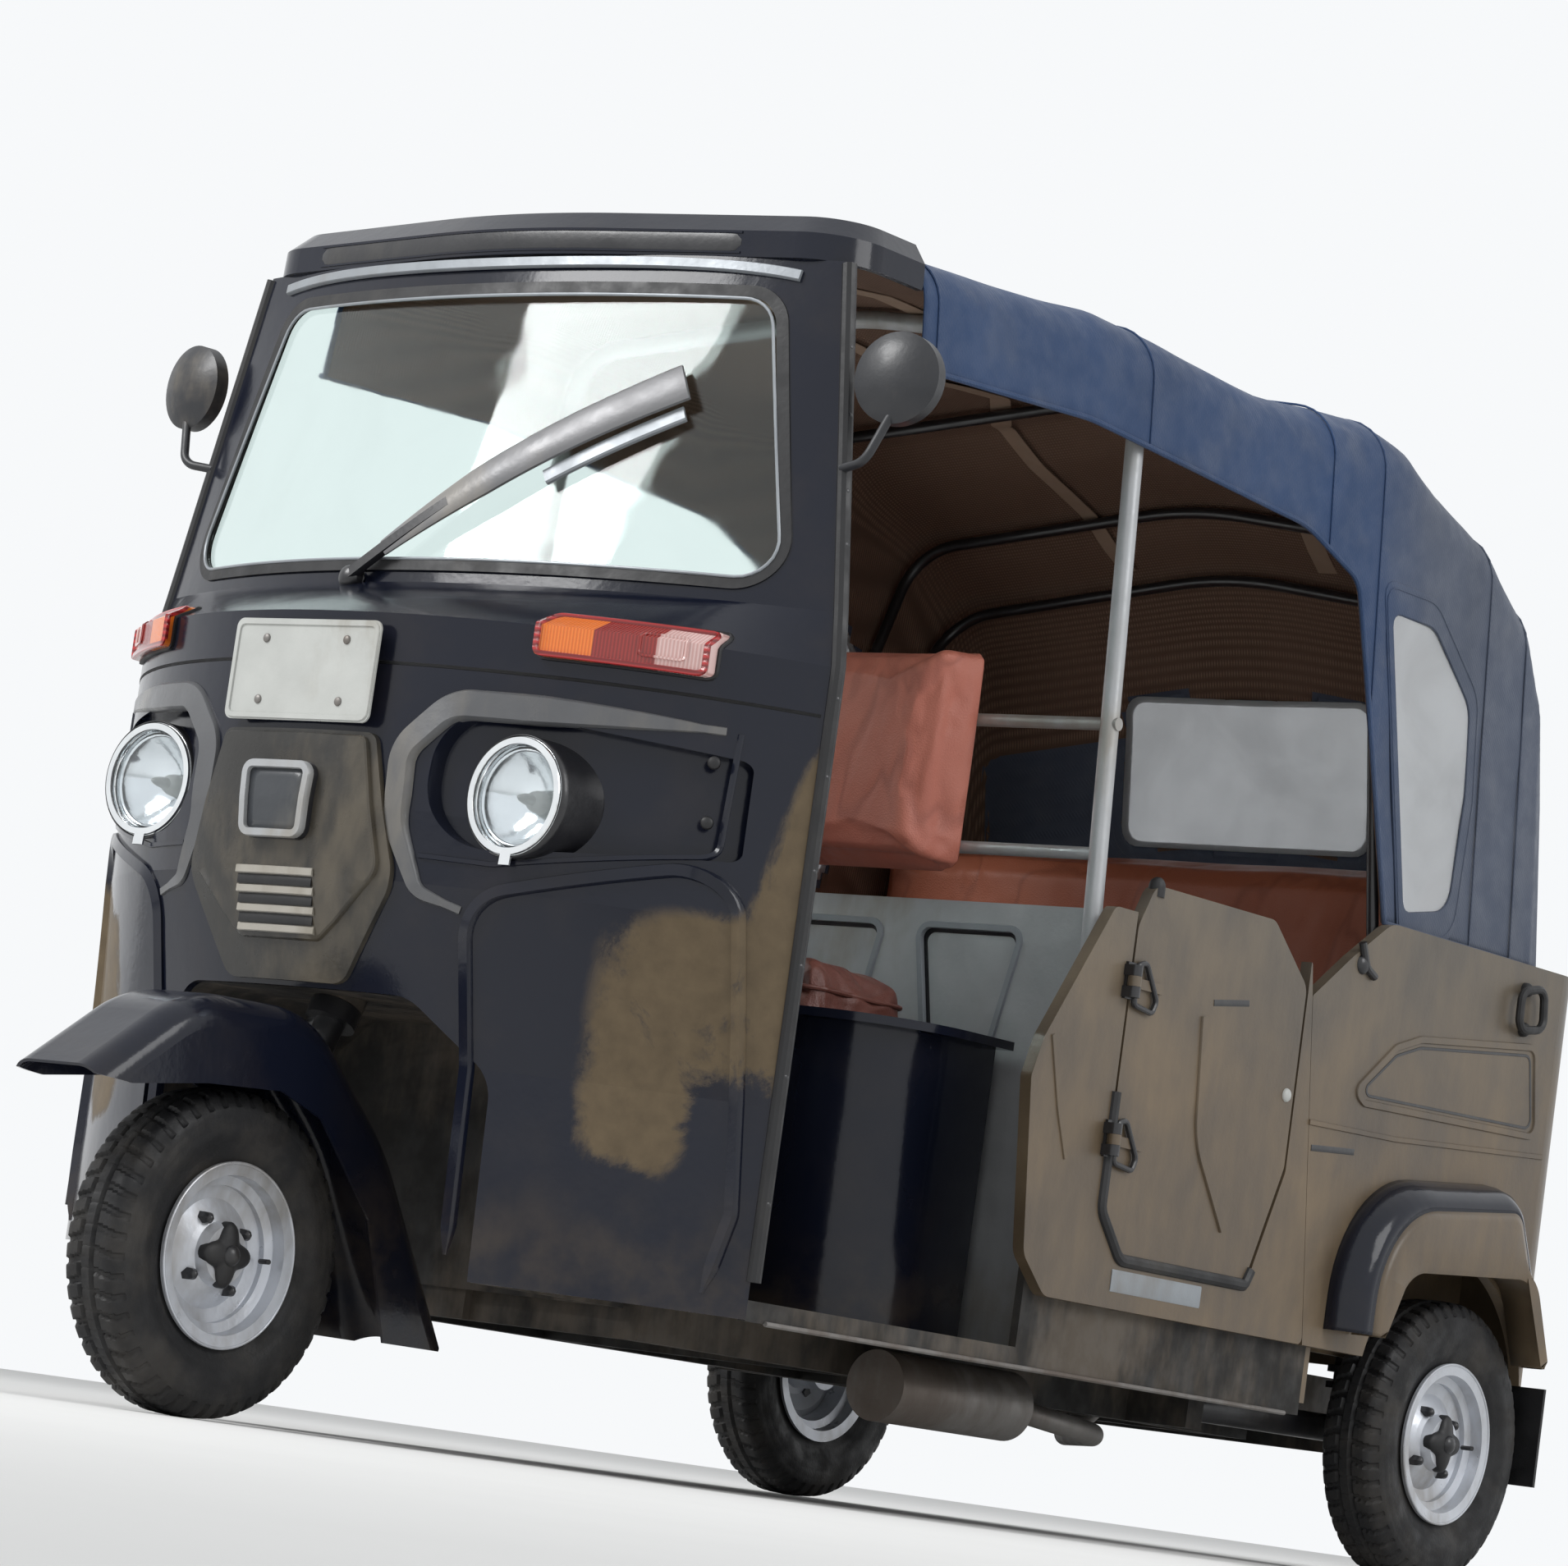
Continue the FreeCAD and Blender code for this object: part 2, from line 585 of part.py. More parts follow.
# Sides, doors and tub

def door_points(grow):
    front, rear = size.door_front - grow, size.door_rear + grow
    low, high = size.door_bottom - grow, size.door_top + grow
    return [(front, low + 60), (front + 55, low), (rear - 65, low), (rear, low + 170),
            (rear, high - 80), (rear - 100, high), (front + 30, high), (front, high - 60)]


def door_prism(grow, x0, x1):
    corner = size.door_corner * 0.6
    outline = wire_yz(door_points(grow), corner, x0)
    return prism(outline, Vector(x1 - x0, 0, 0))


def make_doors():
    outer, wall = size.side_outer, size.side_wall
    pin_x = outer + size.hinge_reach
    pin_y = size.door_front - 12
    leaf = door_prism(0, outer - wall, outer)
    knuckles = []
    brackets = []
    third = size.hinge_height / 3
    for z in (size.hinge_high, size.hinge_low):
        low = z - size.hinge_height / 2
        eye = Part.makeCylinder(9, third - 0.6, Vector(pin_x, pin_y, low + third + 0.3), Vector(0, 0, 1))
        strap = block(outer, outer + 5, pin_y, size.door_front + 70, low + third + 0.3, low + 2 * third - 0.3)
        web = block(outer, pin_x, pin_y - 4, pin_y + 4, low + third + 0.3, low + 2 * third - 0.3)
        bore = Part.makeCylinder(size.hinge_pin + size.running_gap, 200, Vector(pin_x, pin_y, z - 100),
                                 Vector(0, 0, 1))
        web_clear = block(0, outer + 1.5, pin_y - 30, size.door_front - 0.1, z - 100, z + 100)
        knuckles.append(eye.fuse([strap, web]).cut(bore).cut(web_clear))
        pin = Part.makeCylinder(size.hinge_pin, size.hinge_height, Vector(pin_x, pin_y, low), Vector(0, 0, 1))
        for start in (low, low + 2 * third):
            ear = Part.makeCylinder(9, third, Vector(pin_x, pin_y, start), Vector(0, 0, 1))
            foot = block(outer, pin_x, pin_y - 9, pin_y + 5, start, start + third)
            pin = pin.fuse([ear, foot])
        brackets.append(pin)
    door = leaf.fuse(knuckles).removeSplitter()
    shape_piece("door_left", door)
    shape_piece("door_right", mirrored(door))
    return brackets + [mirrored(b) for b in brackets]


def make_side_panels():
    """Panel between the doorway and the tub, open round the door."""
    outer, wall = size.side_outer, size.side_wall
    low = size.side_bottom
    waist = size.waist_height
    points = [(-130, 595), (-112, 650), (12, waist), (505, waist), (515, 799), (600, low), (-37, low), (-95, low + 50)]
    panel = prism(wire_yz(points, [20, 40, 15, 5, 5, 10, 30, 30], outer - wall), Vector(wall, 0, 0))
    opening = door_prism(size.panel_gap, outer - wall - 5, outer + 5)
    above = block(outer - wall - 5, outer + 5, size.door_front - size.panel_gap, size.door_rear + size.panel_gap,
                  size.door_top - 90, size.door_top + 90)
    panel = panel.cut(opening).cut(above)
    shape_piece("side_panels", both_sides(panel))


def make_tub():
    outer, wall, rear = size.side_outer, size.side_wall, size.tub_rear
    low, top = size.side_bottom, size.tub_top
    corner = size.tub_corner

    def plan(inset):
        x, y = outer - inset, rear - inset
        start = 400 - (50 if inset else 0)
        z = low - (10 if inset else 0)
        points = [(x, start), (x, y), (-x, y), (-x, start)]
        outline = wire_xy(points, [0, corner - inset, corner - inset, 0], z)
        return prism(outline, Vector(0, 0, top - low + (20 if inset else 0)))
    shell = plan(0).cut(plan(wall))
    side = side_prism([(516, 799), (size.tub_front, size.tub_front_top), (700, top), (1400, top), (1400, low),
                       (601, low)], [5, 30, 60, 0, 0, 0])
    shell = shell.common(side)
    arch = Part.makeCylinder(size.fender_inner, 1600, Vector(-800, size.fender_centre, size.fender_height),
                             Vector(1, 0, 0))
    lid = block(-size.lid_half_width - size.panel_gap, size.lid_half_width + size.panel_gap,
                rear - wall - 10, rear + 10, size.lid_bottom - size.panel_gap, size.lid_top + size.panel_gap)
    shell = shell.cut(arch).cut(lid)
    shape_piece("rear_tub", shell.removeSplitter())


def make_fenders():
    outer, reach = size.side_outer, size.fender_reach
    centre = Vector(outer, size.fender_centre, size.fender_height)
    ring = Part.makeCylinder(size.fender_outer, reach - outer, centre, Vector(1, 0, 0))
    ring = ring.cut(Part.makeCylinder(size.fender_inner, reach, centre - Vector(20, 0, 0), Vector(1, 0, 0)))
    keep_box = block(outer - 50, reach + 50, 400, 1400, size.side_bottom + 30, 900)
    fender = ring.common(keep_box)
    face = [e for e in fender.Edges if abs(e.CenterOfMass.x - reach) < 1 and e.Length > 200]
    fender = fender.makeFillet(14, face)
    shape_piece("rear_fenders", both_sides(fender))
    flap_y = size.fender_centre + size.fender_inner + 12
    flap = block(size.wheelhouse_side + 20, reach - 12, flap_y, flap_y + 6, 165, size.side_bottom)
    shape_piece("mudflaps", both_sides(flap))


def make_engine_lid():
    rear, wall = size.tub_rear, size.side_wall
    half, low, high = size.lid_half_width, size.lid_bottom, size.lid_top
    lid = prism(wire_xz([(-half, low), (half, low), (half, high), (-half, high)], 12, rear - wall),
                Vector(0, wall, 0))
    pin_y, pin_z = rear + 10, high + 8
    eyes = []
    brackets = []
    for x in (-200, 200):
        eye = Part.makeCylinder(8, 30, Vector(x - 15, pin_y, pin_z), Vector(1, 0, 0))
        strap = block(x - 15, x + 15, rear, rear + 4, high - 60, pin_z)
        strap = strap.cut(block(x - 16, x + 16, rear - 1, rear + 1.5, high, pin_z + 1))
        bore = Part.makeCylinder(4 + size.running_gap, 200, Vector(x - 100, pin_y, pin_z), Vector(1, 0, 0))
        eyes.append(eye.fuse(strap).cut(bore))
        pin = Part.makeCylinder(4, 54, Vector(x - 27, pin_y, pin_z), Vector(1, 0, 0))
        for start in (x - 27, x + 16):
            ear = Part.makeCylinder(8, 11, Vector(start, pin_y, pin_z), Vector(1, 0, 0))
            foot = block(start, start + 11, rear, pin_y, pin_z, pin_z + 30)
            pin = pin.fuse([ear, foot])
        brackets.append(pin)
    shape_piece("engine_lid", lid.fuse(eyes).removeSplitter())
    return brackets


def make_partition():
    half = size.floor_half_width - 14
    y = size.pole_y + size.pole_radius + 1
    wall = size.partition_thickness
    panel = block(-half, half, y, y + wall, size.floor_height, size.waist_height)
    recesses = []
    for x0, x1, top_in in ((-430, -250, 0), (-190, -30, 0), (30, 190, 0), (250, 430, 0)):
        points = [(x0 + 35, 640), (x1 - 35, 640), (x1, 810), (x0, 810)]
        recesses.append(prism(wire_xz(points, 18, y - 1), Vector(0, 7, 0)))
    shape_piece("partition", panel.cut(Part.Compound(recesses)))


def make_bench():
    """Shelf, its front wall, wheelhouse walls and the board behind the backrest."""
    wall = size.shelf_thickness
    inside = size.side_outer - size.side_wall
    front = size.floor_rear
    rear = size.tub_rear - size.side_wall
    top = size.shelf_height
    shelf = block(-inside, inside, front, rear - 60, top - wall, top)
    front_wall = block(-inside, inside, front, front + wall, size.floor_height - size.floor_thickness, top)
    board_y = front + size.bench_depth + 20
    board = block(-inside, inside, board_y, board_y + wall, top - wall, top + 330)
    parts = [front_wall, board]
    for x in (size.wheelhouse_side - wall, -size.wheelhouse_side):
        parts.append(block(x, x + wall, front, rear - 60, size.side_bottom, top))
    shape_piece("bench_box", shelf.fuse(parts).removeSplitter())
    gap = size.seat_gap
    half = size.bench_half_width
    depth = board_y - gap
    cushion_top = top + gap + size.bench_height
    seat = block(-half, half, front - 20, depth, top + gap, cushion_top)
    seat = seat.makeFillet(28, [e for e in seat.Edges if e.CenterOfMass.z > top + gap + 1])
    back = block(-half, half, depth - size.backrest_thickness, depth, cushion_top + gap,
                 cushion_top + gap + size.backrest_height)
    back = back.makeFillet(28, [e for e in back.Edges if e.CenterOfMass.y < depth - 1])
    shape_piece("bench_cushion", seat)
    shape_piece("bench_backrest", back)


def make_driver_seat():
    half, front, corner = size.seat_base_half, size.seat_base_front, size.seat_base_corner
    back = size.pole_y - size.pole_radius - 1
    wall = 12

    def plan(inset, low, high):
        x, y = half - inset, front - inset
        points = [(x, back - inset), (-x, back - inset), (-x, -y), (x, -y)]
        outline = wire_xy(points, [0, 0, corner - inset, corner - inset], low)
        return prism(outline, Vector(0, 0, high - low))
    base = plan(0, size.floor_height, size.seat_base_top)
    base = base.cut(plan(wall, size.floor_height - 5, size.seat_base_top - wall))
    board = plan(-30, size.seat_base_top, size.seat_base_top + 12).common(
        block(-600, 600, -front - 40, back, 0, 2000))
    shape_piece("driver_seat_base", base.fuse(board).removeSplitter())
    gap = size.seat_gap
    low = size.seat_base_top + 12 + gap
    cushion = block(-size.seat_half, size.seat_half, -front + 10, back - 30, low, low + size.seat_thickness)
    cushion = cushion.makeFillet(24, [e for e in cushion.Edges if e.CenterOfMass.z > low + 1])
    shape_piece("driver_cushion", cushion)
    face = size.pole_y - size.bow_radius - gap
    squab = block(-size.squab_half, size.squab_half, face - size.squab_thickness, face, size.squab_bottom,
                  size.squab_top)
    squab = squab.makeFillet(24, [e for e in squab.Edges if e.CenterOfMass.y < face - 1])
    shape_piece("driver_backrest", squab)


# Front details

def make_lamps():
    centre = Vector(size.lamp_side, -size.cowl_front + 68, size.lamp_height)
    ring = size.lamp_radius + 6
    bowl = Part.makeCylinder(ring, size.lamp_depth, centre, Vector(0, 1, 0))
    bowl = bowl.fuse(Part.makeSphere(ring, centre + Vector(0, size.lamp_depth - 30, 0), Vector(0, 1, 0)))
    bowl = bowl.common(block(0, 900, centre.y, centre.y + size.lamp_depth + 30, 0, 1500))
    cup = Part.makeCone(size.lamp_radius, 26, size.lamp_depth - 25, centre - Vector(0, 0.01, 0), Vector(0, 1, 0))
    shape_piece("headlamp_bowls", both_sides(bowl.cut(cup)))
    dome_radius = 240.0
    seat = centre + Vector(0, 8, 0)
    rim = size.lamp_radius - (size.lamp_radius - 26) * 8 / (size.lamp_depth - 25) - 0.2
    lens = Part.makeCylinder(rim, 40, seat - Vector(0, 30, 0), Vector(0, 1, 0))
    lens = lens.common(Part.makeSphere(dome_radius, seat + Vector(0, dome_radius - 12, 0)))
    lens = lens.common(block(0, 900, -1300, seat.y, 0, 1500))
    shape_piece("headlamp_lenses", both_sides(lens))


def make_indicators():
    x0, low = size.indicator_inner, size.indicator_bottom
    x1, high = x0 + size.indicator_length, low + size.indicator_height
    outline = wire_xz([(x0, low), (x1, low), (x1, high), (x0, high)], 8, -size.half_length)
    zone = prism(outline, Vector(0, size.half_length - size.cowl_edge, 0))
    tall = [(z, front, edge, half) for z, front, edge, half in cowl_sections()]
    lamp = nose_loft(tall, -size.indicator_depth).cut(nose_loft(tall, 0, 40, 5, 5)).common(zone)
    shape_piece("indicator_lamps", both_sides(lamp))


def make_mask():
    """Shield on the nose with three slots and a blank badge plate."""
    points = [(-100, 566), (100, 566), (178, 700), (130, 884), (-130, 884), (-178, 700)]
    zone = prism(wire_xz(points, [30, 30, 60, 16, 16, 60], -size.half_length),
                 Vector(0, size.half_length - size.cowl_edge, 0))
    mask = nose_band(cowl_sections(), -size.mask_thickness, 0).common(zone)
    for z in (640, 662, 684):
        slot = wire_xz([(-66, z), (66, z), (66, z + 9), (-66, z + 9)], 4, -size.half_length)
        mask = mask.cut(prism(slot, Vector(0, size.half_length - size.cowl_front + 60, 0)))
    badge_zone = prism(wire_xz([(-58, 742), (58, 742), (58, 838), (-58, 838)], 14, -size.half_length),
                       Vector(0, 500, 0))
    badge = nose_band(cowl_sections(), -size.mask_thickness - 6, -1).common(badge_zone)
    shape_piece("nose_mask", mask.fuse(badge).removeSplitter())


def make_plate():
    half, tall = size.plate_width / 2, size.plate_height / 2
    face = size.cowl_front + 9
    points = [(-half, size.plate_centre - tall), (half, size.plate_centre - tall),
              (half, size.plate_centre + tall), (-half, size.plate_centre + tall)]
    plate = prism(wire_xz(points, 12, -face), Vector(0, size.plate_thickness, 0))
    for x in (-70, 70):
        for z in (-40, 40):
            plate = plate.fuse(Part.makeCylinder(7, 60, Vector(x, -face, size.plate_centre + z), Vector(0, 1, 0)))
    shape_piece("number_plate", plate.cut(nose_loft(cowl_sections(), 0, 0)))


def make_dash():
    inside = nose_loft(cowl_sections(), size.cowl_wall, 40)
    slab = block(-700, 700, -size.cowl_front, -size.cowl_edge + 10, 1062, 1080)
    shape_piece("dash_shelf", slab.common(inside))


def make_wiper():
    def on_glass(x, z, off):
        share = (z - size.scuttle_height) / (size.pillar_top - size.scuttle_height)
        front = size.scuttle_front + (size.pillar_top_front - size.scuttle_front) * share
        return Vector(x, -front + x * x / 2450 - off, z)
    start, middle, end = on_glass(-105, 1116, 16), on_glass(140, 1270, 16), on_glass(372, 1418, 16)
    path = Part.Wire([Part.Arc(start, middle, end).toShape()])
    heading = (middle - start).normalize()
    across = Vector(0, 1, 0).cross(heading).normalize()
    out = heading.cross(across).normalize()
    half_wide, half_thick = 12, 5
    corners = [start + across * (a * half_wide) + out * (b * half_thick) for a, b in
               ((-1, -1), (1, -1), (1, 1), (-1, 1))]
    profile = Part.makePolygon(corners + [corners[0]])
    arm = path.makePipeShell([profile], True, True)
    boss = Part.makeCylinder(16, 40, start + Vector(0, -12, 0), Vector(0, 1, 0))
    boss = boss.cut(nose_loft(pillar_sections(), 0, 0))
    boss = boss.cut(nose_band(pillar_sections(), -4, 18)).cut(nose_loft(cowl_sections(), 0))
    shape_piece("wiper_arm", arm.fuse(boss))


def make_mirrors():
    centre = Vector(size.mirror_side, -635, size.mirror_height)
    facing = Vector(-0.18, 1, 0).normalize()
    head = Part.makeCylinder(size.mirror_radius, 18, centre, facing)
    dome = Part.makeSphere(115, centre + facing * 97).common(
        Part.makeCylinder(size.mirror_radius, 60, centre - facing * 50, facing))
    head = head.fuse(dome.cut(Part.makeCylinder(size.mirror_radius + 5, 200, centre + facing * 17, facing)))
    foot = Vector(556, -637, 1300)
    stem = tube([foot, Vector(600, -650, 1305), centre - Vector(0, 0, size.mirror_radius - 14)], [0, 25, 0], 6)
    stem = stem.cut(nose_loft(pillar_sections(), 0, 0))
    shape_piece("mirrors", both_sides(head.fuse(stem)))


# Running gear

def revolved_body(label, points):
    """A body turned about X; points are (place along X, radius), as formulas of the sheet."""
    body = document.addObject("PartDesign::Body", label)
    sketch = body.newObject("Sketcher::SketchObject", label + "_profile")
    plane = [f for f in body.Origin.OriginFeatures if f.Role == "XZ_Plane"][0]
    sketch.AttachmentSupport = [(plane, "")]
    sketch.MapMode = "FlatFace"
    count = len(points)
    for i in range(count):
        sketch.addGeometry(Part.LineSegment(Vector(i, 10 + i * i, 0), Vector(i + 1, 10 + (i + 1) ** 2, 0)), False)
    for i in range(count):
        sketch.addConstraint(Sketcher.Constraint("Coincident", i, 2, (i + 1) % count, 1))
    for i, (along, radius) in enumerate(points):
        for kind, formula in (("DistanceX", along), ("DistanceY", radius)):
            index = sketch.addConstraint(Sketcher.Constraint(kind, -1, 1, i, 1, 5.0 + i))
            sketch.setExpression("Constraints[%d]" % index, formula)
    turn = body.newObject("PartDesign::Revolution", label + "_turn")
    turn.Profile = sketch
    turn.ReferenceAxis = (sketch, ["H_Axis"])
    turn.Angle = 360
    body.Tip = turn
    return keep(body, label)


def wheel_formulas(rows):
    """Spell out W tyre width, T tyre radius, F flange radius, R rim width, N hub, B bore."""
    words = {"W": "Sizes.tyre_width", "T": "Sizes.tyre_radius", "F": "Sizes.rim_radius",
             "R": "Sizes.rim_width / 2", "N": "Sizes.hub_radius",
             "B": "(Sizes.axle_radius + Sizes.running_gap)"}
    spelled = []
    for pair in rows:
        spelled.append(tuple("".join(words.get(letter, letter) for letter in text) for text in pair))
    return spelled


# columns: place along the axle, radius
TYRE = [("8 - R", "F - 12.5"), ("8 - R", "F + 1"), ("-0.46 * W", "F + 12"), ("-0.5 * W", "F + 42"),
        ("-0.47 * W", "T - 22"), ("-0.38 * W", "T - 6"), ("-0.2 * W", "T"), ("0.2 * W", "T"),
        ("0.38 * W", "T - 6"), ("0.47 * W", "T - 22"), ("0.5 * W", "F + 42"), ("0.46 * W", "F + 12"),
        ("R - 8", "F + 1"), ("R - 8", "F - 12.5")]
RIM = [("-R", "F"), ("5 - R", "F"), ("7 - R", "F - 13"), ("24 - R", "F - 15"), ("28 - R", "F - 27"),
       ("R - 28", "F - 27"), ("R - 24", "F - 15"), ("R - 7", "F - 13"), ("R - 5", "F"), ("R", "F"),
       ("R - 2", "F - 17"), ("R - 20", "F - 19"), ("R - 24", "F - 31"), ("14", "F - 31"),
       ("9", "F - 48"), ("22", "N + 8"), ("26", "N"), ("R - 6", "N - 6"), ("R - 6", "B"),
       ("4 - R", "B"), ("4 - R", "N - 6"), ("14", "N - 4"), ("17", "N + 6"), ("4", "F - 46"),
       ("8", "F - 34"), ("24 - R", "F - 31"), ("20 - R", "F - 19"), ("2 - R", "F - 17")]

# columns: name, axle along Y, wheel centre along X, side that faces out
WHEELS = [
    ("front", "-Sizes.wheelbase / 2", "0", 1),
    ("rear_left", "Sizes.wheelbase / 2", "Sizes.rear_track / 2", 1),
    ("rear_right", "Sizes.wheelbase / 2", "-Sizes.rear_track / 2", -1),
]


def make_wheels():
    for name, along, across, facing in WHEELS:
        for kind, rows in (("tyre", TYRE), ("rim", RIM)):
            body = revolved_body(name + "_" + kind, wheel_formulas(rows))
            if facing < 0:
                body.Placement = FreeCAD.Placement(Vector(0, 0, 0), FreeCAD.Rotation(Vector(0, 0, 1), 180))
            bind(body, x=across, y=along, z="Sizes.tyre_radius")


def guard_spine():
    """Crown line of the front mudguard from its tip to the foot of its skirt."""
    points = [(-size.half_length, 408), (-1150, 524), (-930, 529), (-760, 380), (-600, 140)]
    return rounded_edges([Vector(0, y, z) for y, z in points], [0, 190, 160, 320, 0], closed=False)


def guard_sweep(inset):
    """Arched section carried along the crown line."""
    path = Part.Wire(guard_spine())
    start = Vector(0, -size.half_length, 408)
    heading = (Vector(0, -1150, 524) - start).normalize()
    up = Vector(1, 0, 0).cross(heading).normalize()
    half = size.guard_half_width - inset
    outline = [(-half, -125), (-half, -inset), (half, -inset), (half, -125)]
    corners = [start + Vector(1, 0, 0) * a + up * b for a, b in outline]
    profile = Part.Wire(rounded_edges(corners, [0, 38 - inset, 38 - inset, 0]))
    return path.makePipeShell([profile], True, False)


def make_mudguard():
    guard = guard_sweep(0).cut(guard_sweep(size.guard_wall))
    lower = [(-1400, 300), (-1400, 404), (-1249, 394), (-1118, 412), (-985, 420), (-905, 395), (-790, 280), (-730, 128),
             (-500, 128), (-500, 0), (-1400, 0)]
    guard = guard.cut(side_prism(lower, 0))
    shape_piece("front_mudguard", guard)


def make_steering():
    """Column, handlebar, single fork leg with its trailing link and stub axle."""
    crown_top = axis_point(size.head_bottom) - axis_direction() * 1.0
    lean = axis_direction()
    bar_centre = axis_point(size.bar_height)
    column = Part.makeCylinder(size.column_radius, (bar_centre - crown_top).Length + 6, crown_top, lean)
    crown = Part.makeCylinder(size.head_radius, 24, crown_top - lean * 24, lean)
    stub = Part.makeCylinder(20, 120, crown_top - lean * 130, lean)
    bar_y, bar_z, half = bar_centre.y, bar_centre.z, size.bar_half
    bar = tube([Vector(half, bar_y + 95, bar_z), Vector(130, bar_y, bar_z), Vector(-130, bar_y, bar_z),
                Vector(-half, bar_y + 95, bar_z)], [0, 90, 90, 0], size.bar_radius)
    nacelle = Part.makeCylinder(38, 150, Vector(-75, bar_y, bar_z), Vector(1, 0, 0))
    side = size.leg_side
    axle_y, axle_z = -size.wheelbase / 2, size.tyre_radius
    neck = crown_top - lean * 12
    leg = tube([neck, Vector(-side, neck.y - 20, neck.z - 70), Vector(-side, axle_y - 75, axle_z + 42)],
               [0, 45, 0], size.leg_radius)
    link_in = size.leg_side - size.leg_radius + 4
    link = Part.Wire(rounded_edges([Vector(-link_in, axle_y - 100, axle_z + 70),
                                    Vector(-link_in, axle_y - 100, axle_z + 20),
                                    Vector(-link_in, axle_y, axle_z - 30), Vector(-link_in, axle_y + 90, axle_z - 30),
                                    Vector(-link_in, axle_y + 90, axle_z + 12),
                                    Vector(-link_in, axle_y, axle_z + 42)], 14))
    link = prism(link, Vector(14, 0, 0))
    axle = Part.makeCylinder(size.axle_radius, link_in + size.rim_width / 2 - 10,
                             Vector(-link_in, axle_y, axle_z), Vector(1, 0, 0))
    link = link.fuse(axle)
    guard = guard_sweep(0)
    fork = crown.fuse([stub, leg]).cut(guard)
    solids = sorted(fork.Solids, key=lambda s: s.Volume)
    fork = solids[-1]
    grips = []
    for sign in (1, -1):
        heading = Vector(sign * (half - 130), 95, 0).normalize()
        end = Vector(sign * half, bar_y + 95, bar_z)
        grips.append(Part.makeCylinder(16, 115, end - heading * 112, heading))
    shape_piece("steering_column", column.fuse([bar, nacelle] + grips).removeSplitter())
    low = Vector(-side - 9, axle_y + 70, axle_z + 5)
    high = Vector(-side - 9, neck.y - 12, neck.z - 85)
    along = (high - low).normalize()
    shock = Part.makeCylinder(12, (high - low).Length, low, along)
    coils = [Part.makeCylinder(23, 9, low + along * (45 + 20 * i), along) for i in range(6)]
    sleeve = Part.makeCylinder(19, 60, low + along * 100, along)
    shock = shock.fuse(coils + [sleeve])
    shape_piece("front_fork", fork.fuse([link, shock]).cut(guard).removeSplitter())


def make_rear_gear():
    """Trailing arms with stub axles, dampers under the shelf, drive shafts."""
    axle_y, axle_z = size.wheelbase / 2, size.tyre_radius
    wheel_x = size.rear_track / 2
    arm_x = wheel_x - size.tyre_width / 2 - 32
    arm = tube([Vector(400, size.floor_rear - 20, axle_z), Vector(arm_x, axle_y - 60, axle_z),
                Vector(arm_x, axle_y + 30, axle_z)], [0, 120, 0], 20)
    arm = arm.cut(block(0, 700, 0, size.floor_rear, 0, 500))
    axle = Part.makeCylinder(size.axle_radius, wheel_x - arm_x + size.rim_width / 2 - 10,
                             Vector(arm_x, axle_y, axle_z), Vector(1, 0, 0))
    arm = arm.fuse(axle)
    damper_y = axle_y - 60
    top = size.shelf_height - size.shelf_thickness
    damper = Part.makeCylinder(12, top - axle_z, Vector(arm_x - 26, damper_y, axle_z), Vector(0, 0, 1))
    for i in range(8):
        damper = damper.fuse(Part.makeCylinder(22, 10, Vector(arm_x - 26, damper_y, axle_z + 60 + 24 * i),
                                               Vector(0, 0, 1)))
    damper = damper.fuse(Part.makeCylinder(18, 90, Vector(arm_x - 26, damper_y, axle_z + 150), Vector(0, 0, 1)))
    shape_piece("rear_suspension", both_sides(arm.fuse(damper).removeSplitter()))
    shaft = Part.makeCylinder(12, arm_x - size.engine_half_width, Vector(size.engine_half_width, axle_y, axle_z + 8),
                              Vector(1, 0, 0))
    shape_piece("drive_shafts", both_sides(shaft.cut(arm)))


def make_engine():
    engine = bound_box("engine_block", "-Sizes.engine_half_width", "Sizes.engine_front",
                       "Sizes.floor_height - Sizes.floor_thickness - 20", "2 * Sizes.engine_half_width",
                       "Sizes.engine_length", "Sizes.engine_height")
    keep(engine, "engine_block")


def make_silencer():
    """Drum hung beside the left rail, its bracket and the pipe from the engine."""
    rail = size.rail_side + size.rail_width / 2
    drum_x, drum_z = rail + 40 + size.silencer_radius, size.floor_height - size.sill_drop - size.silencer_radius
    drum = Part.makeCylinder(size.silencer_radius, size.silencer_length,
                             Vector(drum_x, -size.silencer_length / 2 + 30, drum_z), Vector(0, 1, 0))
    bracket = block(rail, drum_x - 20, 20, 50, drum_z + 12, drum_z + 32)
    end = size.silencer_length / 2 + 25
    pipe = tube([Vector(drum_x, end, drum_z), Vector(drum_x, end + 230, drum_z - 20), Vector(150, 700, drum_z - 20),
                 Vector(150, size.engine_front, 250)], [0, 120, 60, 0], 16)
    pipe = pipe.cut(block(-300, 300, size.engine_front, 1300, 0, 900))
    shape_piece("silencer", drum.fuse([bracket, pipe]).removeSplitter())


def make_tail_lamps():
    rear = size.tub_rear
    lamp = prism(wire_xz([(430, 620), (530, 620), (530, 770), (430, 770)], 12, rear), Vector(0, 16, 0))
    shape_piece("tail_lamps", both_sides(lamp))


make_chassis()
make_floor()
make_wheel_space()
make_front_cowl()
make_mask()
make_plate()
make_lamps()
make_indicators()
make_windscreen()
make_header()
make_dash()
make_wiper()
make_mirrors()
make_driver_seat()
make_partition()
make_bows()
make_side_panels()
make_tub()
make_fenders()
shape_piece("hinge_brackets", Part.Compound(make_doors() + make_engine_lid()))
make_tail_lamps()
make_bench()
make_hood()
make_engine()
make_silencer()
make_rear_gear()
make_steering()
make_mudguard()
make_wheels()

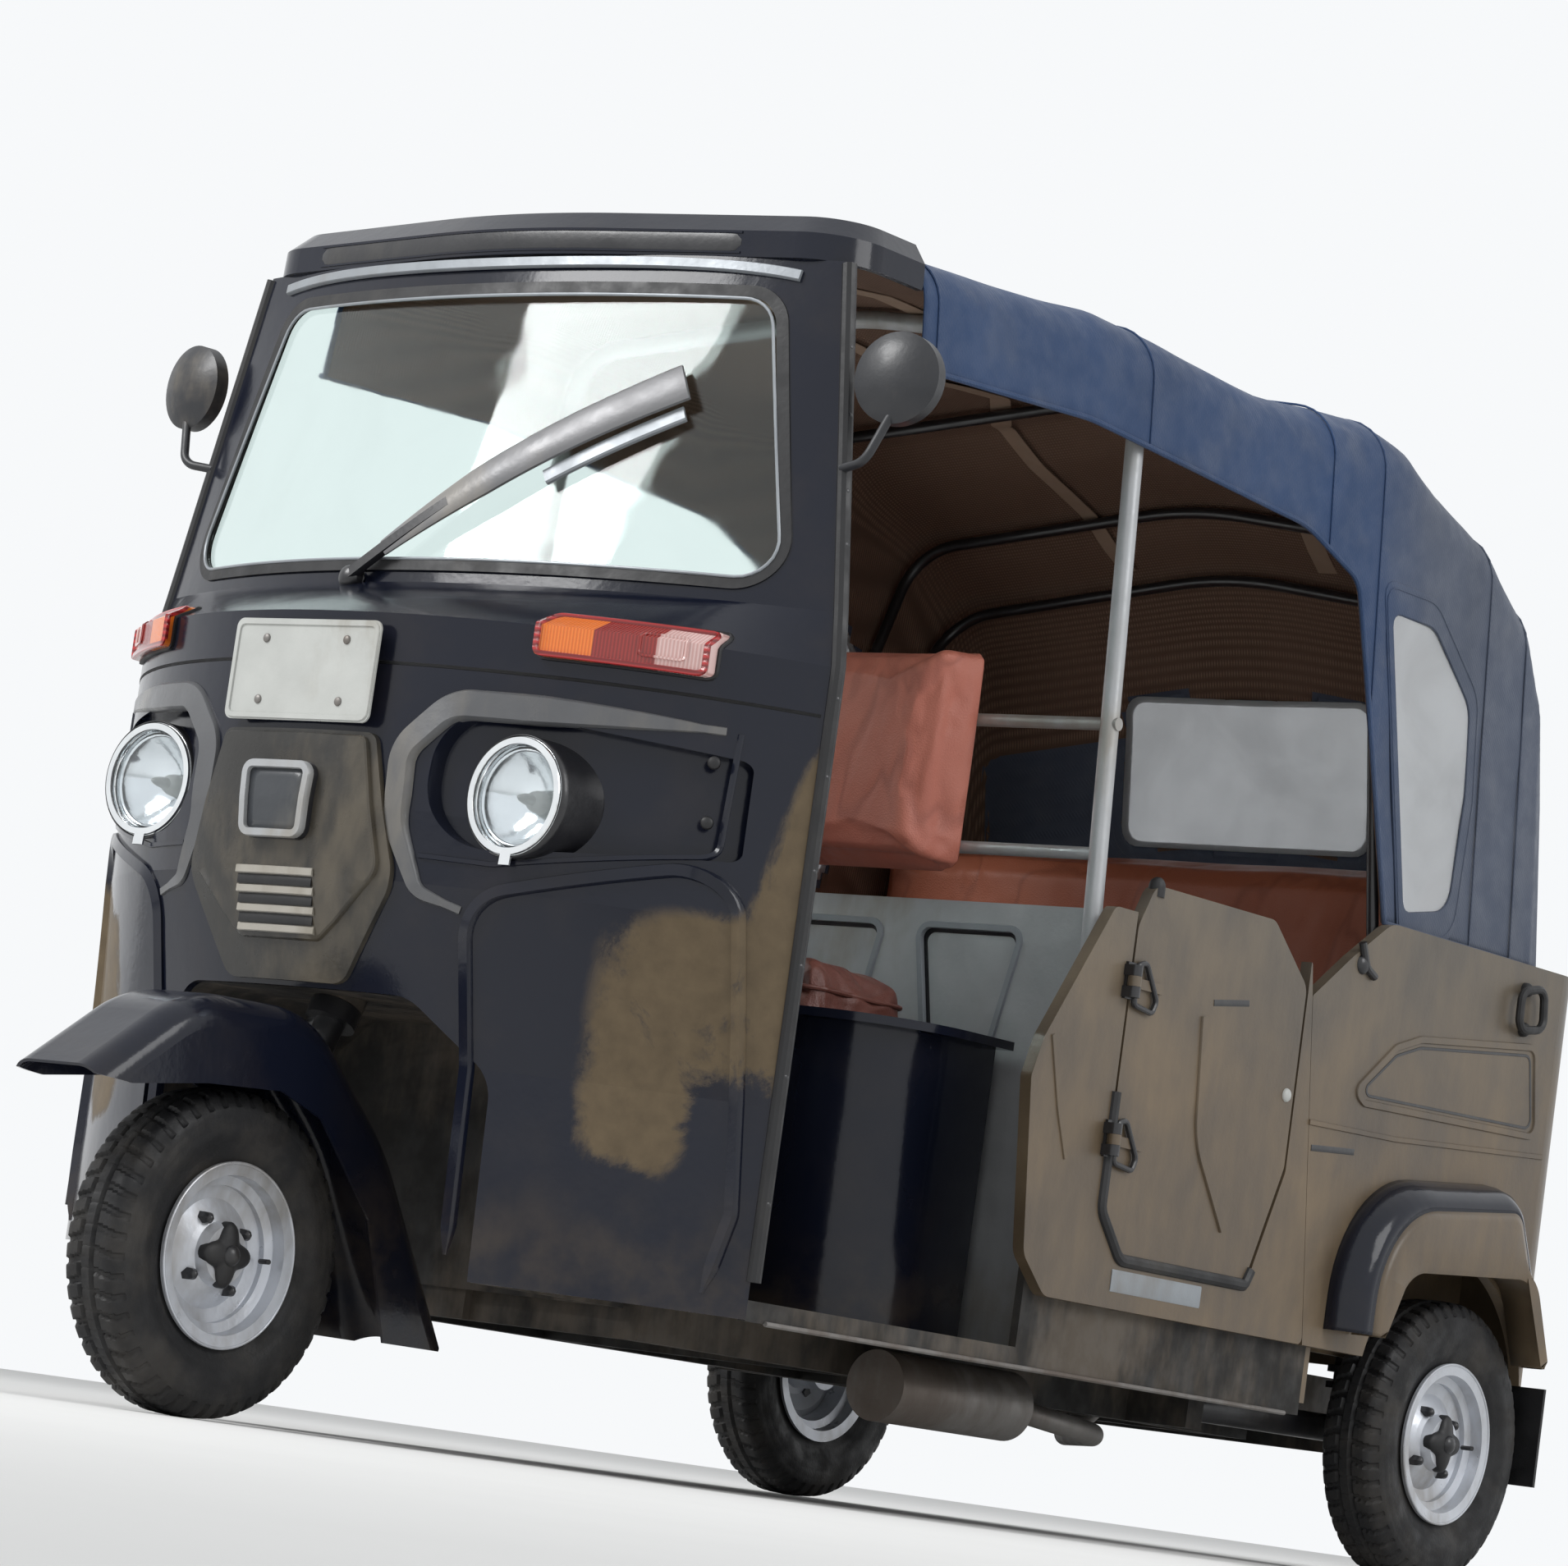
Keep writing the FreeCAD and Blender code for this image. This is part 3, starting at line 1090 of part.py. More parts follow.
document.recompute()
faults = [thing.Name for thing in document.Objects if "Invalid" in thing.State or "Error" in thing.State]
faults += [piece.Label for piece in pieces if piece.Shape.isNull() or not piece.Shape.isValid()]
if faults:
    raise RuntimeError("not sound: " + ", ".join(faults))

os.makedirs("parts", exist_ok=True)
for piece in pieces:
    piece.Shape.exportStep("parts/" + piece.Label + ".step")
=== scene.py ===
import json
import math

import bmesh
import bpy
import numpy as np
from mathutils import Matrix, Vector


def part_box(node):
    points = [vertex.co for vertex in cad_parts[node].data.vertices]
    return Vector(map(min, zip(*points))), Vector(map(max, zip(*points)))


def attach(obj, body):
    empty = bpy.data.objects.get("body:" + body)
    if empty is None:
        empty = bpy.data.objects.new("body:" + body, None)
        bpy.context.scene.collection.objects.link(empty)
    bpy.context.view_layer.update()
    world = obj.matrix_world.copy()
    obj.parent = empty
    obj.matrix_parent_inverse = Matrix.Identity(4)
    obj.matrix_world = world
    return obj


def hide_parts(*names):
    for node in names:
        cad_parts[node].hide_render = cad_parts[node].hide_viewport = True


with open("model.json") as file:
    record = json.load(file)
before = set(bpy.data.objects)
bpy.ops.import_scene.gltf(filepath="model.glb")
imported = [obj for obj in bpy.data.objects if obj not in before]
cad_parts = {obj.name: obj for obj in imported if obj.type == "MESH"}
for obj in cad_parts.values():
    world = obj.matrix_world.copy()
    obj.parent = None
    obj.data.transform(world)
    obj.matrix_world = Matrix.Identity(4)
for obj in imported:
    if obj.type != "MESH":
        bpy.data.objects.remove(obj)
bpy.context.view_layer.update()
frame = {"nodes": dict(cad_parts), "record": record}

nodes = frame["nodes"]

# Metres; front to -Y, the vehicle's left side to +X.

SIDES = ((1, "left"), (-1, "right"))
DOORS = ((1, "left_door", "left"), (-1, "right_door", "right"))
LAMP_SIDE, LAMP_FACE, LAMP_HEIGHT = 0.321, -0.902, 0.821
TUB_SIDE = 0.608
PLATE_FACE, PLATE_MIDDLE = -0.9795, 0.960
BADGE_MIDDLE = 0.790
INDICATOR = (1.000, 1.061)
HINGES = ((0.750, "upper"), (0.535, "lower"))
MIRROR = (0.622, -0.635, 1.418)


# Finishes

class Finish:
    """A procedural finish read from Object coordinates."""

    def __init__(self, name, rough=0.5, metal=0.0, specular=0.5, coat=0.0, coat_rough=0.05, clear=0.0):
        self.material = bpy.data.materials.new(name)
        self.material.use_nodes = True
        self.tree = self.material.node_tree
        self.shader = self.tree.nodes["Principled BSDF"]
        values = {"Roughness": rough, "Metallic": metal, "Specular IOR Level": specular,
                  "Coat Weight": coat, "Coat Roughness": coat_rough, "Transmission Weight": clear}
        for socket, value in values.items():
            self.shader.inputs[socket].default_value = value
        self.place = self.node("ShaderNodeTexCoord").outputs["Object"]
        self.split = self.node("ShaderNodeSeparateXYZ", Vector=self.place)

    def node(self, kind, **inputs):
        """A new node with its inputs fed by name."""
        made = self.tree.nodes.new(kind)
        for name, value in inputs.items():
            self.feed(made.inputs[name.replace("_", " ")], value)
        return made

    def feed(self, socket, value):
        """Links an output to the socket, or sets it to a plain value."""
        if isinstance(value, bpy.types.NodeSocket):
            self.tree.links.new(value, socket)
        else:
            socket.default_value = value

    def noise(self, scale, detail=4.0, stretch=(1, 1, 1), distortion=0.0, roughness=0.55):
        """Noise from 0 to 1, with its grain stretched along the axes."""
        turned = self.node("ShaderNodeMapping", Vector=self.place, Scale=stretch)
        made = self.node("ShaderNodeTexNoise", Vector=turned.outputs[0], Scale=scale, Detail=detail,
                         Roughness=roughness, Distortion=distortion)
        return made.outputs["Fac"]

    def cells(self, scale, stretch=(1, 1, 1)):
        """Distance to the nearest of scattered points."""
        turned = self.node("ShaderNodeMapping", Vector=self.place, Scale=stretch)
        return self.node("ShaderNodeTexVoronoi", Vector=turned.outputs[0], Scale=scale).outputs["Distance"]

    def wave(self, scale, axis="X", distortion=0.0, detail=2.0):
        """Sine bands along an axis."""
        made = self.node("ShaderNodeTexWave", Vector=self.place, Scale=scale, Distortion=distortion,
                         Detail=detail)
        made.bands_direction = axis
        return made.outputs["Fac"]

    def sum(self, kind, a, b=0.0, clamp=False):
        """One arithmetic step on two values."""
        made = self.tree.nodes.new("ShaderNodeMath")
        made.operation = kind
        made.use_clamp = clamp
        self.feed(made.inputs[0], a)
        self.feed(made.inputs[1], b)
        return made.outputs[0]

    def step(self, value, low, high, a=0.0, b=1.0):
        """Goes smoothly from a to b while the value goes from low to high."""
        made = self.node("ShaderNodeMapRange", Value=value)
        made.interpolation_type = "SMOOTHSTEP"
        made.inputs["From Min"].default_value = low
        made.inputs["From Max"].default_value = high
        made.inputs["To Min"].default_value = a
        made.inputs["To Max"].default_value = b
        return made.outputs[0]

    def between(self, axis, low, high, soft):
        """1 where the coordinate lies between low and high."""
        value = self.split.outputs[axis]
        return self.sum("MULTIPLY", self.step(value, low - soft, low + soft),
                        self.step(value, high - soft, high + soft, 1, 0))

    def mix(self, share, a, b):
        """Colour a where share is 0 and b where it is 1."""
        made = self.tree.nodes.new("ShaderNodeMix")
        made.data_type = "RGBA"
        self.feed(made.inputs[0], share)
        for socket, value in ((made.inputs[6], a), (made.inputs[7], b)):
            self.feed(socket, value if isinstance(value, bpy.types.NodeSocket) else (*value, 1.0))
        return made.outputs[2]

    def colour(self, value):
        self.feed(self.shader.inputs["Base Color"],
                  value if isinstance(value, bpy.types.NodeSocket) else (*value, 1.0))

    def roughness(self, value):
        self.feed(self.shader.inputs["Roughness"], value)

    def bump(self, *layers):
        """Each layer is (height, depth in metres)."""
        below = None
        for height, depth in layers:
            made = self.node("ShaderNodeBump", Height=height, Distance=depth, Strength=1.0)
            if below is not None:
                self.feed(made.inputs["Normal"], below)
            below = made.outputs[0]
        self.feed(self.shader.inputs["Normal"], below)


def dust_cover(f, amount):
    """Cloudy film that gathers low down and in streaks."""
    cloud = f.noise(3.1, 6, (1, 1, 0.8), 0.6)
    fine = f.noise(38, 3, (1, 1, 0.35))
    mixed = f.sum("ADD", f.sum("MULTIPLY", cloud, 0.75), f.sum("MULTIPLY", fine, 0.25))
    return f.step(mixed, 0.62 - amount * 0.45, 0.78 - amount * 0.35)


def navy_gloss():
    """Near-black navy gloss with a painted reflection of the brown ground, a ragged patch behind the front
    wheel, under faint dust that gathers low down.
    """
    f = Finish("navy_gloss", coat=0.12, coat_rough=0.05, specular=0.32)
    z = f.split.outputs[2]
    across = f.sum("ABSOLUTE", f.split.outputs[0])
    # where the painted ground reflection lies: panels and a leaning stripe on the nose's sides, behind the
    # front wheel
    back = f.sum("MULTIPLY", f.step(f.split.outputs[1], -0.88, -0.74),
                 f.step(f.split.outputs[1], -0.60, -0.56, 1, 0))
    panel = f.sum("MULTIPLY", f.step(across, 0.34, 0.44), f.between(2, 0.38, 0.70, 0.06))
    bare = f.sum("MULTIPLY", f.between(2, 0.28, 0.50, 0.06), f.step(across, 0.49, 0.55))
    panel = f.sum("MULTIPLY", panel, f.sum("SUBTRACT", 1.0, bare))
    lean = f.sum("SUBTRACT", across, f.sum("MULTIPLY", f.sum("SUBTRACT", z, 0.70), 0.16))
    reflection_streak = f.sum("MULTIPLY", f.step(lean, 0.535, 0.580), f.between(2, 0.60, 0.95, 0.05))
    edge = f.sum("MULTIPLY", f.sum("MAXIMUM", panel, reflection_streak), back)
    cloud = f.step(f.noise(6.5, 8, (1, 1, 0.8), 0.6, 0.72), 0.25, 0.62)
    # painted reflection: a ragged brown patch for the ground seen in the gloss
    ground_reflection = f.step(f.sum("MULTIPLY", edge, f.sum("ADD", cloud, 0.48)), 0.38, 0.80)
    haze = f.sum("MULTIPLY", f.step(f.noise(9, 5), 0.45, 0.75), 0.05)
    foot = f.sum("MULTIPLY", f.step(z, 0.40, 0.24), f.step(f.noise(12, 5), 0.35, 0.7))
    # the painted ground reflection, with a faint film of dust all over and more near the foot
    dust = f.sum("MAXIMUM", f.sum("MULTIPLY", ground_reflection, 0.88),
                 f.sum("MAXIMUM", haze, f.sum("MULTIPLY", foot, 0.25)))
    # brown of the painted ground reflection, also used for the dust
    ground_and_dust_tint = f.mix(f.noise(38, 4), (0.085, 0.060, 0.032), (0.175, 0.127, 0.070))
    f.colour(f.mix(dust, (0.0065, 0.0085, 0.018), ground_and_dust_tint))
    f.roughness(f.step(dust, 0.0, 0.9, 0.16, 0.70))
    f.bump((f.noise(7, 2), 0.0015), (f.noise(90, 3), 0.0002))
    return f.material


def dusty_paint():
    """Body paint under a painted reflection of the warm brown ground: greyer high up, browner low down,
    broken by dark clouds where the paint shows.
    """
    f = Finish("dusty_paint", coat=0.25, coat_rough=0.25)
    z = f.split.outputs[2]
    # painted reflection of the warm ground in the gloss, laid in clouds and streaks
    cloud = f.noise(4, 6, (1, 1, 0.9), 0.3)
    reflection_streak = f.noise(30, 4, (1, 1, 0.3))
    thick = f.sum("ADD", f.sum("MULTIPLY", cloud, 0.7), f.sum("MULTIPLY", reflection_streak, 0.3))
    high = f.mix(f.step(thick, 0.28, 0.72), (0.070, 0.058, 0.044), (0.175, 0.142, 0.103))
    low = f.mix(f.step(thick, 0.28, 0.72), (0.078, 0.055, 0.033), (0.195, 0.141, 0.085))
    # painted reflection: greyer tone high up, browner tone low down
    tone = f.mix(f.step(z, 0.95, 0.55), high, low)
    # dark clouds where the bare paint shows through the painted reflection
    dark_clouds = f.sum("MULTIPLY", f.step(f.noise(3.6, 7, (1, 1, 0.8), 0.5, 0.62), 0.50, 0.80), 0.45)
    f.colour(f.mix(dark_clouds, tone, (0.035, 0.034, 0.036)))
    f.roughness(f.step(thick, 0.35, 0.65, 0.38, 0.62))
    f.bump((f.noise(6, 3), 0.0025), (f.noise(160, 3), 0.00025))
    return f.material


def satin(name, tone, dust=(0.20, 0.17, 0.13), amount=0.25, rough=0.45, metal=0.0, grain=120, coat=0.0):
    """Plain finish with a grain, lighter wear and a film of dust."""
    f = Finish(name, metal=metal, coat=coat, coat_rough=0.15)
    light = tuple(min(1.0, c * 1.35 + 0.004) for c in tone)
    worn = f.mix(f.noise(18, 5), tone, light)
    f.colour(f.mix(f.sum("MULTIPLY", dust_cover(f, amount), min(0.9, amount + 0.35)), worn, dust))
    f.roughness(f.step(f.noise(23, 4), 0.3, 0.7, rough * 0.8, min(1.0, rough * 1.25)))
    f.bump((f.noise(grain, 3), 0.0003))
    return f.material


def vinyl(name, tone, shade, crease=0.004):
    """Soft vinyl with a pebbled grain and long wrinkles, and painted shade that darkens the wrinkle lines."""
    f = Finish(name, specular=0.4)
    wrinkle = f.noise(5, 3, (1, 1, 0.6), 0.4)
    folds = f.sum("ABSOLUTE", f.sum("SUBTRACT", wrinkle, 0.5))
    grain = f.cells(420)
    mixed = f.mix(f.noise(6, 4), tone, shade)
    # painted shade: the colour darkens along the wrinkle lines
    f.colour(f.mix(f.step(folds, 0.03, 0.0, 0.0, 0.35), mixed, tuple(c * 0.55 for c in shade)))
    f.roughness(f.step(f.noise(12, 3), 0.3, 0.7, 0.38, 0.55))
    f.bump((f.step(folds, 0.0, 0.12), crease), (grain, 0.0004))
    return f.material


def cloth(name, crown, flank, weave=520.0, dust=0.3):
    """Coated blue cloth with a painted sky reflection: the roof gets the saturated crown tone, the part
    behind the doorway the greyer flank tone.
    """
    f = Finish(name, specular=0.35)
    f.shader.inputs["Sheen Weight"].default_value = 0.08
    f.shader.inputs["Sheen Roughness"].default_value = 0.5
    cloud = f.noise(4, 5, (1, 1, 1), 0.7)
    # two lit copies of one blue cloth: the crown tone paints sky reflected on the roof, the flank tone the
    # greyer sides
    upper = f.mix(cloud, tuple(c * 0.75 for c in crown), tuple(c * 1.35 for c in crown))
    lower = f.mix(cloud, tuple(c * 0.8 for c in flank), tuple(c * 1.25 for c in flank))
    # the painted reflection changes from the roof's tone to the flanks' tone behind the doorway
    behind = f.step(f.sum("ADD", f.split.outputs[1], f.sum("MULTIPLY", cloud, 0.10)), 0.64, 0.86)
    tone = f.mix(behind, upper, lower)
    powder = f.sum("MULTIPLY", f.step(f.noise(11, 5), 0.45, 0.8), dust)
    f.colour(f.mix(powder, tone, (0.15, 0.16, 0.18)))
    f.roughness(f.step(f.noise(30, 3), 0.3, 0.7, 0.50, 0.70))
    ridge = f.sum("ABSOLUTE", f.sum("SUBTRACT", f.noise(3.2, 3, (1, 1, 1), 0.3), 0.5))
    threads = f.sum("MULTIPLY", f.wave(weave / 6.28, "Y"), f.wave(weave / 6.28, "DIAGONAL"))
    f.bump((f.step(ridge, 0.0, 0.30), 0.006), (threads, 0.00025))
    return f.material


def lining_cloth():
    """Brown woven lining: two crossed waves make its threads."""
    f = Finish("lining_cloth", rough=0.85, specular=0.2)
    threads = f.sum("MULTIPLY", f.wave(60, "Y"), f.wave(60, "X"))
    tone = f.mix(threads, (0.130, 0.080, 0.056), (0.300, 0.190, 0.135))
    f.colour(f.mix(f.step(f.noise(5, 4), 0.3, 0.8, 0.0, 0.6), tone, (0.20, 0.125, 0.090)))
    f.bump((threads, 0.0008), (f.noise(10, 3), 0.003))
    return f.material


def clear_sheet(name, tone, rough, clear, haze):
    """Glass or film with clouded patches."""
    f = Finish(name, rough=rough, clear=clear)
    f.shader.inputs["IOR"].default_value = 1.45
    f.colour(f.mix(f.step(f.noise(6, 5, (1, 1, 1), 0.8), 0.35, 0.75), tone, tuple(c * haze for c in tone)))
    f.roughness(f.step(f.noise(16, 4), 0.3, 0.75, rough, min(1.0, rough * 2 + 0.02)))
    f.bump((f.noise(5, 2), 0.002))
    return f.material


def tyre_rubber():
    """Black rubber with dried dirt."""
    f = Finish("tyre_rubber", specular=0.35)
    dirt = f.step(f.noise(14, 5), 0.4, 0.75, 0.0, 0.55)
    f.colour(f.mix(dirt, (0.012, 0.012, 0.013), (0.060, 0.053, 0.045)))
    f.roughness(f.step(f.noise(30, 4), 0.3, 0.7, 0.45, 0.75))
    f.bump((f.noise(260, 3), 0.0004))
    return f.material


def flasher_plastic():
    """Amber by the nose, then dark red, then a pale clear end."""
    f = Finish("flasher_plastic", rough=0.12, coat=0.6)
    across = f.sum("ABSOLUTE", f.split.outputs[0])
    ribs = f.wave(85, "X")
    amber = f.mix(ribs, (0.78, 0.16, 0.012), (0.92, 0.23, 0.025))
    red = f.mix(ribs, (0.22, 0.014, 0.010), (0.36, 0.025, 0.018))
    pale = f.mix(ribs, (0.62, 0.36, 0.33), (0.78, 0.55, 0.52))
    tone = f.mix(f.step(across, 0.386, 0.388), amber, red)
    f.colour(f.mix(f.step(across, 0.452, 0.454), tone, pale))
    f.bump((ribs, 0.0008))
    return f.material


def lens_plastic(name, dark, light):
    """Ribbed lamp plastic."""
    f = Finish(name, rough=0.15, coat=0.6)
    ribs = f.wave(36, "Z")
    f.colour(f.mix(ribs, dark, light))
    f.bump((ribs, 0.0008))
    return f.material


FINISHES = {
    "body_paint": navy_gloss(),
    "dusty_paint": dusty_paint(),
    "mask_plastic": satin("mask_plastic", (0.020, 0.019, 0.017), (0.125, 0.105, 0.075), 0.40, 0.32),
    "silver_paint": satin("silver_paint", (0.36, 0.37, 0.38), (0.30, 0.27, 0.22), 0.35, 0.42, 0.35),
    "black_metal": satin("black_metal", (0.010, 0.010, 0.012), (0.060, 0.054, 0.045), 0.2, 0.35, coat=0.3),
    "hood_cloth": cloth("hood_cloth", (0.020, 0.048, 0.120), (0.070, 0.086, 0.125), dust=0.2),
    "clear_film": clear_sheet("clear_film", (0.80, 0.82, 0.84), 0.28, 0.55, 0.85),
    "glass": clear_sheet("screen_glass", (0.80, 0.93, 0.90), 0.02, 1.0, 0.97),
    "rubber": satin("black_rubber", (0.007, 0.007, 0.008), (0.045, 0.040, 0.034), 0.2, 0.5),
    "tyre": tyre_rubber(),
    "rim_paint": satin("rim_paint", (0.52, 0.54, 0.58), (0.25, 0.22, 0.18), 0.3, 0.34, 0.4),
    "chrome": satin("chrome", (0.72, 0.74, 0.76), amount=0.05, rough=0.14, metal=1.0),
    "mirror": satin("mirror_shell", (0.016, 0.017, 0.020), amount=0.2, rough=0.4),
    "lamp_glass": clear_sheet("lamp_glass", (0.93, 0.96, 0.98), 0.03, 1.0, 0.98),
    "lamp_plastic": flasher_plastic(),
    "tail_red": lens_plastic("tail_red", (0.18, 0.006, 0.006), (0.48, 0.02, 0.02)),
    "plate": satin("plate_paint", (0.43, 0.44, 0.42), (0.28, 0.25, 0.20), 0.30, 0.4),
    "salmon_vinyl": vinyl("salmon_vinyl", (0.60, 0.215, 0.150), (0.46, 0.135, 0.095)),
    "dark_red_vinyl": vinyl("dark_red_vinyl", (0.115, 0.034, 0.026), (0.20, 0.075, 0.055), 0.007),
    "bench_vinyl": vinyl("bench_vinyl", (0.46, 0.150, 0.080), (0.33, 0.095, 0.050), 0.002),
    "underbody": satin("underbody", (0.014, 0.013, 0.012), (0.13, 0.105, 0.08), 0.4, 0.7),
    "cast_metal": satin("cast_metal", (0.045, 0.045, 0.045), (0.12, 0.10, 0.08), 0.4, 0.6, 0.5),
    "grey_steel": satin("grey_steel", (0.20, 0.19, 0.18), (0.12, 0.09, 0.07), 0.4, 0.5, 0.7),
}
LINING = lining_cloth()
LIP = satin("lip_paint", (0.25, 0.27, 0.29), (0.20, 0.18, 0.15), 0.2, 0.35, 0.2)
BADGE = satin("badge_face", (0.030, 0.034, 0.040), (0.16, 0.15, 0.13), 0.3, 0.35, coat=0.3)
RIB = satin("rib_plastic", (0.34, 0.32, 0.28), (0.20, 0.17, 0.12), 0.3, 0.4)
BROW = satin("brow_paint", (0.085, 0.087, 0.092), (0.19, 0.175, 0.150), 0.35, 0.34, coat=0.2)
WIPER = satin("wiper_cover", (0.17, 0.17, 0.175), (0.30, 0.28, 0.25), 0.35, 0.35, 0.2)
STRAP = satin("roof_strap", (0.30, 0.21, 0.15), amount=0.2, rough=0.8)

for row in frame["record"]["subparts"]:
    node = nodes[row["node"]]
    node.data.materials.clear()
    node.data.materials.append(FINISHES[row["material_slot"]])


# Surfaces

def rounded(points, radii, count, closed=False):
    """Points evenly along straight runs; an arc of its radius, touching both runs, replaces each corner."""
    points = np.array(points, float)
    total = len(points)
    path = []
    for i in range(total):
        end = not closed and i in (0, total - 1)
        radius = 0 if end else (radii if np.isscalar(radii) else radii[i])
        if radius == 0:
            path.append(points[i:i + 1])
            continue
        here = points[i]
        back = points[i - 1] - here
        on = points[(i + 1) % total] - here
        back, on = back / np.linalg.norm(back), on / np.linalg.norm(on)
        half = math.acos(max(-1.0, min(1.0, float(back @ on)))) / 2
        start, stop = here + back * radius / math.tan(half), here + on * radius / math.tan(half)
        centre = here + (back + on) / np.linalg.norm(back + on) * radius / math.sin(half)
        sweep = math.pi - 2 * half
        share = np.linspace(0, 1, 13)[:, None]
        path.append(centre
                    + (np.sin((1 - share) * sweep) * (start - centre)
                       + np.sin(share * sweep) * (stop - centre)) / math.sin(sweep))
    run = np.vstack(path + ([path[0][:1]] if closed else []))
    lengths = np.concatenate([[0], np.cumsum(np.linalg.norm(np.diff(run, axis=0), axis=1))])
    places = np.linspace(0, lengths[-1], count, endpoint=not closed)
    return np.stack([np.interp(places, lengths, run[:, k]) for k in range(run.shape[1])], axis=1)


def carried(path, profile, up=(0, 0, 1), scale=None, loop=False):
    """Profile (side, up) carried along a path: each row is path + side * s + rise * u."""
    path = np.array(path, float)
    if loop:
        heading = np.roll(path, -1, 0) - np.roll(path, 1, 0)
    else:
        heading = np.gradient(path, axis=0)
    heading /= np.linalg.norm(heading, axis=1)[:, None]
    up = np.broadcast_to(np.array(up, float), path.shape)
    side = np.cross(heading, up)
    side /= np.linalg.norm(side, axis=1)[:, None]
    rise = np.cross(side, heading)
    profile = np.array(profile, float)
    grow = np.ones(len(path)) if scale is None else np.array(scale, float)
    return (path[:, None, :]
            + grow[:, None, None]
            * (side[:, None, :] * profile[None, :, 0, None] + rise[:, None, :] * profile[None, :, 1, None]))


def disc(radius, count=10):
    """Round profile of a bar or cord."""
    turn = np.linspace(0, 2 * math.pi, count, endpoint=False)
    return np.stack([np.cos(turn), np.sin(turn)], axis=1) * radius


def surface(name, grids, slot, body="body", finish=None, loop_rows=False, loop_columns=False, ends=False,
            thick=0.0, sharp=35, holes=None):
    """Quads over grids of points (rows, columns, 3); ends closes each end on its middle."""
    if not isinstance(grids, list):
        grids = [grids]
    points = []
    faces = []
    base = 0
    for grid in grids:
        if ends:
            grid = np.concatenate([np.broadcast_to(grid[0].mean(0), grid[:1].shape), grid,
                                   np.broadcast_to(grid[-1].mean(0), grid[:1].shape)])
        rows, columns = grid.shape[:2]
        index = np.arange(rows * columns).reshape(rows, columns) + base
        if loop_rows:
            index = np.vstack([index, index[:1]])
        if loop_columns:
            index = np.hstack([index, index[:, :1]])
        quads = np.stack([index[:-1, :-1], index[1:, :-1], index[1:, 1:], index[:-1, 1:]],
                         axis=-1).reshape(-1, 4)
        if holes is not None:
            middle = grid.reshape(-1, 3)[(quads - base)].mean(axis=1)
            quads = quads[~holes(middle)]
        points.append(grid.reshape(-1, 3))
        faces.append(quads)
        base += rows * columns
    mesh = bpy.data.meshes.new(name)
    mesh.from_pydata(np.vstack(points).tolist(), [], np.vstack(faces).tolist())
    work = bmesh.new()
    work.from_mesh(mesh)
    bmesh.ops.remove_doubles(work, verts=work.verts, dist=1e-6)
    loose = [v for v in work.verts if not v.link_faces]
    bmesh.ops.delete(work, geom=loose, context="VERTS")
    if ends or (loop_rows and loop_columns):
        bmesh.ops.recalc_face_normals(work, faces=work.faces)
    work.to_mesh(mesh)
    work.free()
    return placed(name, mesh, slot, body, finish, thick, sharp)


def placed(name, mesh, slot, body, finish, thick, sharp):
    """The mesh as a piece at the origin, riding on its body; thick gives it a wall."""
    mesh.shade_smooth()
    mesh.set_sharp_from_angle(angle=math.radians(sharp))
    piece = bpy.data.objects.new(name, mesh)
    bpy.context.scene.collection.objects.link(piece)
    mesh.materials.append(finish or FINISHES[slot])
    if thick:
        wall = piece.modifiers.new("wall", "SOLIDIFY")
        wall.thickness = thick
        wall.offset = 0.0
    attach(piece, body)
    return piece


def strip(name, path, profile, slot, up=(0, -1, 0), body="body", finish=None, closed=False, scale=None):
    """A profile carried along a path; closed joins its two ends, which are capped otherwise."""
    grid = carried(path, profile, up, scale, closed)
    return surface(name, grid, slot, body, finish, loop_rows=closed, loop_columns=True, ends=not closed)


def bar(name, path, radius, body, slot, count=10):
    """Round bar: a circle carried along the path."""
    return strip(name, path, disc(radius, count), slot, (0.31, 0.17, 0.93), body)


def mirrored(grid):
    """The same grid on the vehicle's other side, its rows turned so that faces still point out."""
    return (grid * np.array([-1.0, 1.0, 1.0]))[::-1]


# Hood: arches across the vehicle, joined along it

# columns: y, shoulder, crown, half width at the shoulder, at the base, corner
ARCHES = np.array([
    (-0.4695, 1.622, 1.662, 0.515, 0.585, 0.075),
    (-0.054, 1.650, 1.700, 0.530, 0.588, 0.085),
    (0.366, 1.634, 1.690, 0.532, 0.588, 0.085),
    (0.620, 1.652, 1.712, 0.538, 0.590, 0.085),
    (0.720, 1.642, 1.706, 0.540, 0.590, 0.085),
    (0.800, 1.600, 1.668, 0.545, 0.590, 0.080),
    (0.953, 1.542, 1.612, 0.550, 0.590, 0.080),
    (1.072, 1.462, 1.536, 0.548, 0.588, 0.080),
    (1.130, 1.372, 1.448, 0.544, 0.584, 0.075),
    (1.172, 1.240, 1.320, 0.536, 0.570, 0.070),
    (1.212, 0.980, 1.030, 0.500, 0.520, 0.025),
])
HOOD_FOOT = 0.932
DOORWAY = rounded([(-0.4695, 1.4704), (-0.105, 1.490), (0.438, 1.462), (0.580, 1.410), (0.7037, HOOD_FOOT)],
                  [0, 0.300, 0.200, 0.045, 0], 160)
SIDE_LIGHT = rounded([(0.668, 1.392), (0.790, 1.392), (0.905, 1.290), (0.908, 1.150), (0.880, 0.968),
                      (0.752, 0.945)], [0.020, 0.050, 0.050, 0.060, 0.050, 0.020], 120, closed=True)
